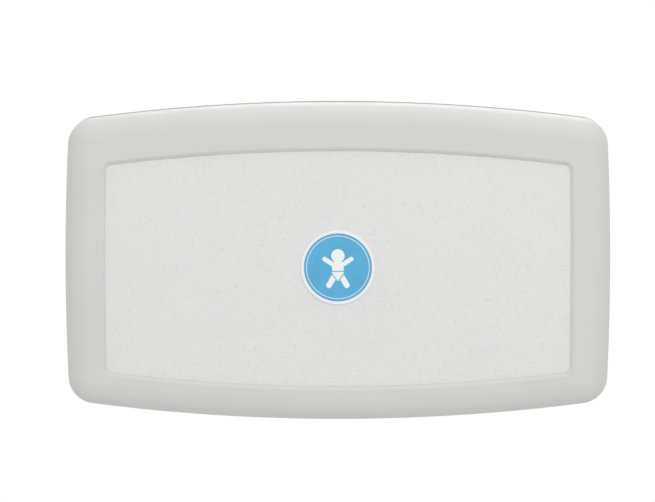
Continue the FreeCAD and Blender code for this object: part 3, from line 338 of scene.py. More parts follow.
@dataclass(frozen=True)
class MouldedRubber:
    """Black rubber with bloom and a matt pitted skin."""

    colour: Colour

    def material(self, name: str) -> Material:
        """Build the node material."""
        g = Graph(name)
        bloom = scaled(self.colour, 1.9)
        dusty = g.patches(5.0 * MM, 5.0, 0.45, 0.75)
        roughness = g.patches(3.0 * MM, 3.0, 0.3, 0.7, 0.72, 0.9)
        pits = g.relief(g.cells(0.7 * MM), 0.06 * MM)
        return g.finish(g.tint(dusty, self.colour, bloom), roughness, pits)


@dataclass(frozen=True)
class WovenWebbing:
    """Plain-woven strap: ribs across the band crossed by finer yarns along it, with a soft sheen."""

    colour: Colour
    rib: float = 1.9 * MM
    yarn: float = 1.1 * MM

    def band(self, g: Graph, axis: str, size: float) -> Socket:
        """Sine bands across one axis, one period per size."""
        wave = g.node("ShaderNodeTexWave")
        wave.bands_direction = axis
        wave.inputs["Scale"].default_value = 2.0 * math.pi / 20.0 / size
        wave.inputs["Distortion"].default_value = 0.15
        g.link(g.place, wave.inputs["Vector"])
        return wave.outputs["Fac"]

    def material(self, name: str) -> Material:
        """Build the node material."""
        g = Graph(name)
        pale = scaled(self.colour, 2.3)
        weave = g.combine("MULTIPLY", self.band(g, "X", self.rib), self.band(g, "Z", self.yarn))
        fuzz = g.patches(0.35 * MM, 2.0, 0.35, 0.7, 0.0, 0.5)
        colour = g.tint(g.combine("ADD", weave, fuzz), self.colour, pale)
        roughness = g.patches(7.0 * MM, 3.0, 0.3, 0.7, 0.72, 0.88)
        return g.finish(colour, roughness, g.relief(weave, 0.35 * MM), Sheen_Weight=0.35, Sheen_Roughness=0.5)


@dataclass(frozen=True)
class FoldedPaper:
    """Soft absorbent paper: warm white with pulp flecks and a crushed surface."""

    colour: Colour

    def material(self, name: str) -> Material:
        """Build the node material."""
        g = Graph(name)
        shade = scaled(self.colour, 0.88)
        pulp = g.patches(1.2 * MM, 4.0, 0.4, 0.65)
        roughness = g.patches(4.0 * MM, 2.0, 0.3, 0.7, 0.85, 0.95)
        crush = g.relief(g.noise(3.0 * MM, 5.0), 0.25 * MM)
        return g.finish(g.tint(pulp, self.colour, shade), roughness, crush, Sheen_Weight=0.1)


@dataclass(frozen=True)
class PrintedFilm:
    """A printed film: the attribute named print is 0 on the ground and 1 on the ink."""

    ground: Colour
    ink: Colour
    roughness: float = 0.32

    def material(self, name: str) -> Material:
        """Build the node material."""
        g = Graph(name)
        layer = g.node("ShaderNodeAttribute")
        layer.attribute_name = "print"
        deep = scaled(self.ground, 0.86)
        clouds = g.patches(30.0 * MM, 3.0, 0.3, 0.7)
        rosette = g.spread(g.cells(0.8 * MM), 0.0, 0.8, 0.0, 0.35)
        ground = g.tint(g.combine("MAXIMUM", clouds, rosette), self.ground, deep)
        colour = g.tint(layer.outputs["Fac"], ground, self.ink)
        scuff = g.patches(12.0 * MM, 6.0, 0.4, 0.7, self.roughness, self.roughness + 0.12)
        return g.finish(colour, scuff, g.relief(g.noise(6.0 * MM, 2.0), 0.03 * MM), Coat_Weight=0.25)


FINISHES = {
    Slot.SHELL: MouldedPlastic((0.657, 0.660, 0.657), roughness=0.45, grain=1.1 * MM),
    Slot.CHASSIS: MouldedPlastic(
        (0.300, 0.305, 0.300), roughness=0.62, cloud=0.04, grain=1.1 * MM, shine=0.1
    ),
    Slot.PANEL: FleckedInlay((0.770, 0.770, 0.770), (0.66, 0.66, 0.67), (0.84, 0.84, 0.84)),
    Slot.BADGE_WHITE: MouldedPlastic(
        (0.86, 0.87, 0.88), roughness=0.3, cloud=0.01, grain_depth=0.01 * MM, coat=0.3
    ),
    Slot.BADGE_BLUE: PrintedFilm((0.066, 0.435, 0.735), (0.88, 0.89, 0.90)),
    Slot.LABEL: PrintedFilm((0.80, 0.81, 0.82), (0.06, 0.30, 0.52), roughness=0.38),
    Slot.LINERS: FoldedPaper((0.82, 0.80, 0.76)),
    Slot.HOOK: MouldedPlastic((0.40, 0.41, 0.41), roughness=0.45, grain=0.8 * MM),
    Slot.WEBBING: WovenWebbing((0.035, 0.038, 0.045)),
    Slot.BUCKLE: MouldedPlastic((0.030, 0.031, 0.034), roughness=0.42, cloud=0.12, grain=0.6 * MM),
    Slot.BUTTON: MouldedPlastic((0.58, 0.035, 0.030), roughness=0.35, cloud=0.06, grain=0.6 * MM, coat=0.2),
    Slot.FRAME_STEEL: CoatedSteel((0.52, 0.53, 0.54)),
    Slot.FASTENER: BareSteel((0.62, 0.62, 0.60), roughness=0.34, lines=0.02 * MM),
    Slot.CHROME: BareSteel((0.74, 0.74, 0.75), roughness=0.12, lines=0.004 * MM),
    Slot.CYLINDER: CoatedSteel((0.022, 0.022, 0.024), roughness=0.33),
    Slot.RUBBER: MouldedRubber((0.030, 0.030, 0.030)),
}


class Wardrobe:
    """Makes each slot's material once and dresses the frame's own nodes."""

    def __init__(self) -> None:
        """Start with no material made."""
        self.made: dict[Slot, Material] = {}

    def material(self, slot: Slot) -> Material:
        """The finished material of a slot."""
        if slot not in self.made:
            self.made[slot] = FINISHES[slot].material(slot.value + "_finish")
        return self.made[slot]

    def dress_frame(self) -> None:
        """Give every carried-over node the finish of its slot."""
        for part in frame["record"]["subparts"]:
            mesh_slots = frame["nodes"][part["node"]].material_slots
            for mesh_slot in mesh_slots:
                mesh_slot.material = self.material(Slot(part["material_slot"]))


WARDROBE = Wardrobe()


# ---- Surfaces ----------------------------------------------------------------------------
def run(start: tuple[float, ...], end: tuple[float, ...], steps: int) -> Array:
    """Evenly spaced rows from a start, left out, to an end: start + (end - start) * i / steps."""
    return np.linspace(start, end, steps + 1)[1:]


def corner(start: tuple[float, ...], knee: tuple[float, ...], end: tuple[float, ...], steps: int) -> Array:
    """Rows along the parabola that leaves a start towards a knee and arrives at an end.

    Each row is (1-t)^2 * start + 2t(1-t) * knee + t^2 * end, for t evenly spaced in (0, 1].
    """
    t = np.linspace(0.0, 1.0, steps + 1)[1:, None]
    a, b, c = (np.array(v, float) for v in (start, knee, end))
    return (1.0 - t) ** 2 * a + 2.0 * t * (1.0 - t) * b + t**2 * c


def traced(start: tuple[float, ...], *legs: tuple) -> Array:
    """The rows of a profile.

    Args:
        start: the first row.
        legs: (end, steps) for a straight run, (knee, end, steps) for a corner. Each leaves from the last
            end, and one of no steps only moves there.

    Returns:
        The start and every row after it.
    """
    rows = [[start]]
    for *knee, end, steps in legs:
        rows.append(corner(start, *knee, end, steps) if knee else run(start, end, steps))
        start = end
    return np.vstack(rows)


def quads_over(index: Array) -> list[list[int]]:
    """The four corners of every cell of a grid of point numbers, in turning order."""
    corners = [index[:-1, :-1], index[:-1, 1:], index[1:, 1:], index[1:, :-1]]
    return np.stack(corners, axis=-1).reshape(-1, 4).tolist()


def grid_mesh(name: str, grid: Array, wrap: bool = True) -> Mesh:
    """A mesh of quads over a grid of points.

    Args:
        name: the mesh's name.
        grid: points, rows by columns by 3.
        wrap: whether the last column joins the first.

    Returns:
        The mesh, with its doubled points merged and its faces pointing outwards if it is closed.
    """
    rows, columns = grid.shape[:2]
    index = np.arange(rows * columns).reshape(rows, columns)
    if wrap:
        index = np.hstack([index, index[:, :1]])
    mesh = bpy.data.meshes.new(name)
    mesh.from_pydata(grid.reshape(-1, 3).tolist(), [], quads_over(index))
    return tidied(mesh)


def closed(grid: Array) -> Array:
    """A grid with its first and last rows each drawn in to their middle."""
    first, last = (np.broadcast_to(grid[k].mean(axis=0), grid[:1].shape) for k in (0, -1))
    return np.concatenate([first, grid, last])


def settled(work: bmesh.types.BMesh, mesh: Mesh, sharp: float = 180.0) -> Mesh:
    """Put finished work into a mesh, shaded smoothly up to an angle in degrees."""
    work.to_mesh(mesh)
    work.free()
    mesh.shade_smooth()
    if sharp < 180.0:
        mesh.set_sharp_from_angle(angle=math.radians(sharp))
    return mesh


def tidied(mesh: Mesh) -> Mesh:
    """Merge doubled points, turn the faces outwards and shade smoothly over all but the sharp edges."""
    work = bmesh.new()
    work.from_mesh(mesh)
    bmesh.ops.remove_doubles(work, verts=work.verts, dist=1e-6)
    bmesh.ops.dissolve_degenerate(work, edges=work.edges, dist=1e-7)
    bmesh.ops.recalc_face_normals(work, faces=work.faces)
    return settled(work, mesh, sharp=38.0)


def round_turn(count: int) -> Array:
    """Evenly spaced angles once round, the last one left out."""
    return np.linspace(0.0, 2.0 * math.pi, count, endpoint=False)


def powered(wave: Array, power: float) -> Array:
    """A wave raised to a power, with its sign kept."""
    return np.sign(wave) * np.abs(wave) ** power


def lathe_y(centre: tuple[float, float], profile: Array, turns: int = 96) -> Array:
    """A profile of (radius, y) rows turned about an axis along Y.

    Point (i, j) is centre + radius_i * (cos a_j, sin a_j), at y_i, with a_j = 2 pi j / turns.
    """
    angle = round_turn(turns)
    radius, y = profile[:, :1], profile[:, 1:]
    x = centre[0] + radius * np.cos(angle)
    z = centre[1] + radius * np.sin(angle)
    return np.stack([x, np.broadcast_to(y, x.shape), z], axis=-1)


@dataclass(frozen=True)
class Bow:
    """A rounded rectangle in the XZ plane whose four edges are shallow outward arcs."""

    half_width: float
    half_height: float
    centre_z: float
    crown_radius: float
    side_radius: float
    corner_radius: float

    def grown(self, margin: float) -> "Bow":
        """The outline moved outwards by a margin."""
        return Bow(
            self.half_width + margin,
            self.half_height + margin,
            self.centre_z,
            self.crown_radius + margin,
            self.side_radius + margin,
            self.corner_radius + margin,
        )

    def meeting_point(self) -> tuple[float, float]:
        """Where the top arc crosses the right arc, found by turns: each gives the other's coordinate."""
        x = self.half_width
        z = self.half_height
        for _ in range(MEETING_TURNS):
            z = self.half_height - self.crown_radius + math.sqrt(self.crown_radius**2 - x * x)
            x = self.half_width - self.side_radius + math.sqrt(self.side_radius**2 - z * z)
        return x, z

    def ring(self, edge_steps: int = 56, corner_steps: int = 14) -> tuple[Array, Array]:
        """Points and outward normals clockwise round the outline.

        Each arc is centre + radius * (cos a, sin a), and (cos a, sin a) is also the normal. The last four
        arcs are the first four turned by half a turn.

        Returns:
            Two arrays of (x, z) rows, from the outline's own centre height.
        """
        cx, cz = self.grown(-self.corner_radius).meeting_point()
        top, side = self.half_height - self.crown_radius, self.half_width - self.side_radius
        tilt, lift = math.atan2(cx, cz - top), math.atan2(cz, cx - side)
        crown_r, side_r, corner_r = self.crown_radius, self.side_radius, self.corner_radius
        arcs = []
        for sign, back in ((1.0, 0.0), (-1.0, math.pi)):
            up, right, down = math.pi / 2.0 - back, -back, -math.pi / 2.0 - back
            arcs += [
                ((0.0, sign * top), crown_r, up + tilt, up - tilt, edge_steps),
                ((sign * cx, sign * cz), corner_r, up - tilt, right + lift, corner_steps),
                ((sign * side, 0.0), side_r, right + lift, right - lift, edge_steps),
                ((sign * cx, -sign * cz), corner_r, right - lift, down + tilt, corner_steps),
            ]
        angle = np.concatenate([np.linspace(a, b, n, endpoint=False) for _, _, a, b, n in arcs])
        centre = np.concatenate([np.tile(c, (n, 1)) for c, _, _, _, n in arcs])
        radius = np.concatenate([np.full(n, r) for _, r, _, _, n in arcs])
        normal = np.stack([np.cos(angle), np.sin(angle)], axis=-1)
        return centre + radius[:, None] * normal + np.array([0.0, self.centre_z]), normal


INNER = 1.0, 1.0  # blend and reach of a row on the inner outline
OUTER = 0.0, 1.0  # the same on the outer outline
POLE = 1.0, 0.0  # the same at the inner outline's centre


def lofted(outer: Bow, inner: Bow, stations: Array) -> Array:
    """A profile carried round two outlines.

    A station is (margin, y, blend, reach). Its ring is the mix, by blend, of both outlines, each moved along
    its own normals by the margin, then drawn in to reach times its distance from the inner outline's centre.

    Args:
        outer: the outline at blend 0.
        inner: the outline at blend 1.
        stations: the rows of the profile.

    Returns:
        The grid of points, one row for each station.
    """
    (p0, n0), (p1, n1) = outer.ring(), inner.ring()
    margin, depth, blend, reach = (stations[:, k, None, None] for k in range(4))
    flat = (1.0 - blend) * (p0 + margin * n0) + blend * (p1 + margin * n1)
    centre = np.array([0.0, inner.centre_z])
    flat = centre + reach * (flat - centre)
    y = np.broadcast_to(depth, flat.shape[:2] + (1,))
    return np.concatenate([flat[..., :1], y, flat[..., 1:]], axis=-1)


# ---- Placing pieces ----------------------------------------------------------------------
def low(node: str) -> Vector:
    """The lowest corner of a frame node."""
    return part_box(node)[0]


def high(node: str) -> Vector:
    """The highest corner of a frame node."""
    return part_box(node)[1]


def in_scene(name: str, data: bpy.types.ID) -> bpy.types.Object:
    """A new object in the scene."""
    made = bpy.data.objects.new(name, data)
    bpy.context.scene.collection.objects.link(made)
    return made


def spans(node: str) -> tuple[Array, Array]:
    """The middle of a frame node's box and half its size, each as x, y and z."""
    a, b = (np.array(point, float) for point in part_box(node))
    return (a + b) / 2.0, (b - a) / 2.0


def place(name: str, mesh: Mesh, body: Body, slot: Slot, *nodes: str) -> bpy.types.Object:
    """Make a mesh a finished piece of the station.

    Args:
        name: the piece's name.
        mesh: its mesh, already in place.
        body: the body that it rides on.
        slot: the material slot that it takes its finish from.
        nodes: the frame nodes that it stands for.

    Returns:
        The piece.
    """
    piece = in_scene(name, mesh)
    mesh.materials.clear()
    mesh.materials.append(WARDROBE.material(slot))
    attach(piece, body.value)
    if nodes:
        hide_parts(*nodes)
    LOG.info("%s rides on %s", name, body.value)
    return piece


def carved(mesh: Mesh, boxes: list[tuple[Vector, Vector]]) -> Mesh:
    """A closed mesh with boxes cut out of it.

    Args:
        mesh: the closed mesh.
        boxes: the lowest and highest corner of each box.

    Returns:
        The cut mesh.
    """
    body = in_scene("carving", mesh)
    tools = []
    for lowest, highest in boxes:
        tool_mesh = bpy.data.meshes.new("cutter")
        work = bmesh.new()
        bmesh.ops.create_cube(work, size=1.0)
        bmesh.ops.scale(work, vec=highest - lowest, verts=work.verts)
        bmesh.ops.translate(work, vec=(highest + lowest) / 2.0, verts=work.verts)
        work.to_mesh(tool_mesh)
        work.free()
        tools.append(in_scene("cutter", tool_mesh))
        cut = body.modifiers.new("cut", "BOOLEAN")
        cut.operation = "DIFFERENCE"
        cut.solver = "EXACT"
        cut.object = tools[-1]
    bpy.context.view_layer.update()
    shown = body.evaluated_get(bpy.context.evaluated_depsgraph_get())
    result = bpy.data.meshes.new_from_object(shown)
    for spare in [body, *tools]:
        bpy.data.objects.remove(spare)
    return tidied(result)


# ---- Printed pictograms ------------------------------------------------------------------
def capsule(x: Array, z: Array, start: tuple[float, float], end: tuple[float, float], radius: float) -> Array:
    """Signed distance to a round-ended bar: the distance to its segment less its radius."""
    ax, az = start
    dx, dz = end[0] - ax, end[1] - az
    along = np.clip(((x - ax) * dx + (z - az) * dz) / max(dx * dx + dz * dz, 1e-12), 0.0, 1.0)
    return np.hypot(x - ax - along * dx, z - az - along * dz) - radius


def frame_distance(x: Array, z: Array, half: tuple[float, float], radius: float, line: float) -> Array:
    """Signed distance to the line of a rounded rectangle: the distance to its edge less half the line."""
    qx = np.abs(x) - half[0] + radius
    qz = np.abs(z) - half[1] + radius
    edge = np.hypot(np.maximum(qx, 0.0), np.maximum(qz, 0.0)) + np.minimum(np.maximum(qx, qz), 0.0) - radius
    return np.abs(edge) - line / 2.0


def infant(x: Array, z: Array, size: float) -> Array:
    """Signed distance to a plain infant figure in a nappy, about one size tall.

    The figure is the union of a round head and bars for trunk, arms and legs, less three thin lines for the
    nappy. Every place and radius in it is a share of the size.
    """
    u, v = x / size, z / size
    shape = capsule(u, v, (0.0, 0.31), (0.0, 0.31), 0.165)
    shape = np.minimum(shape, capsule(u, v, (0.0, 0.06), (0.0, -0.16), 0.145))
    for side in (-1.0, 1.0):
        shape = np.minimum(shape, capsule(u, v, (side * 0.10, 0.08), (side * 0.33, 0.23), 0.055))
        shape = np.minimum(shape, capsule(u, v, (side * 0.09, -0.20), (side * 0.22, -0.42), 0.070))
    waist = capsule(u, v, (-0.3, -0.075), (0.3, -0.075), 0.013)
    shape = np.maximum(shape, -waist)
    for side in (-1.0, 1.0):
        shape = np.maximum(shape, -capsule(u, v, (side * 0.155, -0.12), (side * 0.03, -0.30), 0.012))
    return shape * size


def printed(mesh: Mesh, ink: Array) -> Mesh:
    """Store how much ink each point carries, 0 to 1, as the attribute named print."""
    layer = mesh.attributes.new("print", "FLOAT", "POINT")
    layer.data.foreach_set("value", ink.astype(np.float32).ravel())
    return mesh


def inked(distance: Array, soft: float) -> Array:
    """Ink that is full inside a shape and fades over a soft edge."""
    return np.clip(0.5 - distance / soft, 0.0, 1.0)


def mesh_points(mesh: Mesh) -> Array:
    """The mesh's points as one array."""
    points = np.empty(len(mesh.vertices) * 3)
    mesh.vertices.foreach_get("co", points)
    return points.reshape(-1, 3)


# ---- Bed ---------------------------------------------------------------------------------
@dataclass
class BedShell:
    """The moulded front of the bed and the panel in its recess."""

    crown_radius: float = 3140.0 * MM
    side_radius: float = 4135.0 * MM
    corner_radius: float = 45.0 * MM
    front_round: float = 40.0 * MM
    fullness: float = 0.84
    wall: float = 4.0 * MM
    slope: float = 5.0 * MM
    lip: float = 2.8 * MM
    lip_start: float = 2.0 * MM
    wall_share: float = 0.6
    rim_round: float = 0.6 * MM
    panel_crown: float = 3060.0 * MM
    panel_side: float = 9000.0 * MM
    panel_corner: float = 10.0 * MM
    panel_gap: float = 0.4 * MM
    panel_fit: float = 0.05 * MM
    pan_wall: float = 4.0 * MM
    pan_round: float = 1.0 * MM
    panel_edge: float = 0.35 * MM
    outline: Bow = field(init=False)
    panel: Bow = field(init=False)

    def __post_init__(self) -> None:
        """Take both outlines from the frame."""
        a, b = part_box("bed_outer_shell")
        middle, half = spans("bed_outer_shell")
        self.front, self.back = a.y, b.y
        self.outline = Bow(b.x, half[2], middle[2], self.crown_radius, self.side_radius, self.corner_radius)
        a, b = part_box("inset_panel")
        middle, half = spans("inset_panel")
        self.panel_front, self.panel_back = a.y, b.y
        gap = self.panel_gap
        bend = self.panel_crown, self.panel_side, self.panel_corner
        self.panel = Bow(b.x + gap, half[2] + gap, middle[2], *bend)

    def soft_edge(self, turn: Array, inset: float) -> Array:
        """Rows over the front edge, from r * (sin t)^k across and r * (cos t)^k along.

        The fullness k is a little under 1, so the edge is slightly squarer than a quarter of a circle.

        Args:
            turn: the angles t.
            inset: how far inside the outer face the rows lie.

        Returns:
            One row for each angle.
        """
        turn = turn[:, None]
        across, along = np.sin(turn) ** self.fullness, np.abs(np.cos(turn)) ** self.fullness
        radius, zero = self.front_round - inset, np.zeros_like(turn)
        depth = self.front + inset + radius * (1.0 - along)
        return np.hstack([radius * across - self.front_round, depth, zero, zero + 1.0])

    def front_rows(self) -> Array:
        """The outer face, from the middle of the recess over the soft front edge to the back rim."""
        seat, floor, front = self.panel_back, self.panel_front, self.front
        slope, lip, r = self.slope, self.slope + self.lip, self.front_round
        face = traced(
            (0.0, seat, *POLE),
            ((0.0, seat, *INNER), 6),
            ((0.0, floor, *INNER), 2),
            ((slope * self.wall_share, front + self.lip_start, *INNER), 4),
            ((slope, front, *INNER), (lip, front, *INNER), 8),
            ((-r, front, *OUTER), 10),
        )
        soft = self.soft_edge(np.linspace(0.0, math.pi / 2.0, 25)[1:], 0.0)
        skirt = run((0.0, front + r, *OUTER), (0.0, self.back - self.rim_round, *OUTER), 4)
        return np.vstack([face, soft, skirt])

    def inner_rows(self) -> Array:
        """The inner face, from the back rim to the middle of the pan behind the recess."""
        w, r = self.wall, self.front_round
        front, back, pan = self.front + w, self.back, self.panel_back + self.pan_wall
        side, rim, e = self.slope + self.pan_wall, self.rim_round, self.pan_round
        skirt = traced(
            (-rim, back, *OUTER),
            ((rim - w, back, *OUTER), 1),
            ((-w, back - rim, *OUTER), 1),
            ((-w, self.front + r, *OUTER), 3),
        )
        soft = self.soft_edge(np.linspace(math.pi / 2.0, 0.0, 19)[1:], w)
        face = traced(
            (-r, front, *OUTER),
            ((side, front, *INNER), 6),
            ((side, pan - e, *INNER), 3),
            ((side, pan, *INNER), (side - e, pan, *INNER), 3),
            ((0.0, pan, *POLE), 6),
        )
        return np.vstack([skirt, soft, face[1:]])

    def build_shell(self) -> None:
        """The hollow shell: a closed profile carried round the outline, from pole to pole."""
        rows = np.vstack([self.front_rows(), self.inner_rows()])
        mesh = grid_mesh("bed_shell", lofted(self.outline, self.panel, rows))
        place("bed_shell", mesh, Body.BED, Slot.SHELL, "bed_outer_shell")

    def build_panel(self) -> None:
        """The flecked panel: a thin slab with a rounded front edge."""
        m, e = -self.panel_fit, self.panel_edge
        f, b = self.panel_front, self.panel_back
        rows = traced(
            (m - e, f, *POLE),
            ((m - e, f, *INNER), 12),
            ((m, f, *INNER), (m, f + e, *INNER), 5),
            ((m, b, *INNER), 2),
            ((m, b, *POLE), 6),
        )
        mesh = grid_mesh("flecked_panel", lofted(self.outline, self.panel, rows))
        place("flecked_panel", mesh, Body.BED, Slot.PANEL, "inset_panel")

    def build(self) -> None:
        """Make the shell and its panel."""
        self.build_shell()
        self.build_panel()


@dataclass
class Badge:
    """The round badge: a white backing ring and a blue printed disc with a plain infant figure."""

    edge: float = 0.8 * MM
    well_gap: float = 0.2 * MM
    well_round: float = 0.2 * MM
    well_lip: float = 0.3 * MM
    emboss: float = 0.25 * MM
    figure_size: float = 66.0 * MM
    figure_drop: float = 1.5 * MM
    line_place: float = 0.925
    line_half: float = 0.5 * MM
    ink_softness: float = 0.9 * MM
    rings: int = 120
    turns: int = 300

    def build_backing(self) -> None:
        """The backing: a turned disc with a soft outer edge and a stepped recess for the face."""
        a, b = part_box("badge_backing")
        middle, half = spans("badge_backing")
        centre, radius = (middle[0], middle[2]), half[0]
        well, floor = spans("badge_face")[1][0] + self.well_gap, high("badge_face").y
        step, lip, edge = a.y + self.well_round, well + self.well_lip, radius - self.edge
        profile = traced(
            (0.0, floor),
            ((well, floor), 4),
            ((well, step), 2),
            ((well, a.y), (lip, a.y), 3),
            ((edge, a.y), 4),
            ((radius, a.y), (radius, a.y + self.edge), 6),
            ((radius, b.y), 2),
            ((0.0, b.y), 4),
        )
        mesh = grid_mesh("badge_ring", lathe_y(centre, profile, 160))
        place("badge_ring", mesh, Body.BED, Slot.BADGE_WHITE, "badge_backing")

    def build_face(self) -> None:
        """The face: rings of points, with the figure raised by an emboss and stored as ink."""
        a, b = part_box("badge_face")
        middle, half = spans("badge_face")
        centre, radius = (middle[0], middle[2]), half[0]
        reach = np.linspace(0.0, radius, self.rings)
        disc = np.stack([reach, np.full_like(reach, a.y + self.emboss)], axis=-1)
        profile = np.vstack([disc, [(radius, b.y), (0.0, b.y)]])
        mesh = grid_mesh("badge_figure", lathe_y(centre, profile, self.turns))
        points = mesh_points(mesh)
        x, z = points[:, 0] - centre[0], points[:, 2] - centre[1] + self.figure_drop
        line = np.abs(np.hypot(x, z - self.figure_drop) - radius * self.line_place) - self.line_half
        ink = inked(np.minimum(infant(x, z, self.figure_size), line), self.ink_softness)
        front = points[:, 1] < (a.y + b.y) / 2.0
        points[:, 1] -= np.where(front, ink * self.emboss, 0.0)
        mesh.vertices.foreach_set("co", points.ravel())
        printed(mesh, ink * front)
        mesh.update()
        place("badge_figure", mesh, Body.BED, Slot.BADGE_BLUE, "badge_face")

    def build(self) -> None:
        """Make both discs."""
        self.build_backing()
        self.build_face()


@dataclass
class Tray:
    """The tray that the child lies in: a flat rim round a sunk basin with rounded walls."""

    shell: BedShell
    inset: float = 0.5 * MM
    thickness: float = 3.0 * MM
    slope: float = 20.0 * MM
    basin_side_border: float = 97.0 * MM
    basin_top_border: float = 70.0 * MM
    basin_above_hinge: float = 60.0 * MM
    basin_corner: float = 60.0 * MM
    lip: float = 4.0 * MM
    sweep: float = 34.0 * MM
    edge: float = 0.9 * MM
    cut_over: float = 2.0 * MM
    window_reach: float = 8.0 * MM
    window_half: float = 256.0 * MM
    notch_half: float = 18.0 * MM
    notch_drop: float = 14.0 * MM

    def basin(self) -> Bow:
        """The outline of the basin at the rim."""
        outline = self.shell.outline
        hinge_z = spans("hinge_pin")[0][2]
        top = outline.centre_z + outline.half_height - self.basin_top_border
        bottom = hinge_z + self.basin_above_hinge
        return Bow(
            outline.half_width - self.basin_side_border,
            (top - bottom) / 2.0,
            (top + bottom) / 2.0,
            outline.crown_radius,
            outline.side_radius,
            self.basin_corner,
        )

    def rows(self) -> Array:
        """The closed profile: basin floor, wall, lip, rim, edge, and back under to the middle."""
        a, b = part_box("changing_tray")
        t, s = self.thickness, self.slope
        back, floor = b.y, a.y + t
        under, rim = a.y, b.y - t
        drop = back - floor
        wall_foot = (-s * 0.55, floor + drop * 0.45, *INNER)
        wall_head = (-s * 0.10, floor + drop * 0.90, *INNER)
        outer_foot = (-s * 0.55 + t, under + (rim - under) * 0.45, *INNER)
        m, e, sweep = -self.inset, self.edge, -self.sweep
        return traced(
            (sweep, floor, *POLE),
            ((sweep, floor, *INNER), 10),
            ((-s, floor, *INNER), wall_foot, 12),
            (wall_head, 3),
            ((0.0, back, *INNER), (self.lip, back, *INNER), 8),
            ((m - e, back, *OUTER), 8),
            ((m, back, *OUTER), (m, back - e, *OUTER), 4),
            ((m, rim, *OUTER), 1),
            ((t + 0.2 * MM, rim, *INNER), 8),
            ((t, rim, *INNER), 0),
            (outer_foot, 4),
            ((t - s, under, *INNER), (sweep, under, *INNER), 8),
            ((sweep, under, *POLE), 6),
        )

    def openings(self) -> list[tuple[Vector, Vector]]:
        """The hinge's window and the notch beside it on each side for a spring lever."""
        hinge_z = spans("hinge_pin")[0][2]
        back = high("changing_tray").y
        y0, y1 = back - self.thickness - self.cut_over, back + self.cut_over
        reach, top = self.window_reach, hinge_z + self.window_reach
        places = [(0.0, self.window_half, reach, top)]
        for side in (-1.0, 1.0):
            x = side * spans("gas_rod_right")[0][0]
            places.append((x, self.notch_half, self.notch_drop, top + 0.01 * MM))
        return [
            (Vector((x - half, y0, hinge_z - drop)), Vector((x + half, y1, z1)))
            for x, half, drop, z1 in places
        ]

    def build(self) -> None:
        """Carry the profile round, then cut the openings."""
        grid = lofted(self.shell.outline, self.basin(), self.rows())
        mesh = carved(grid_mesh("tray_moulding", grid), self.openings())
        place("tray_moulding", mesh, Body.BED, Slot.SHELL, "changing_tray")


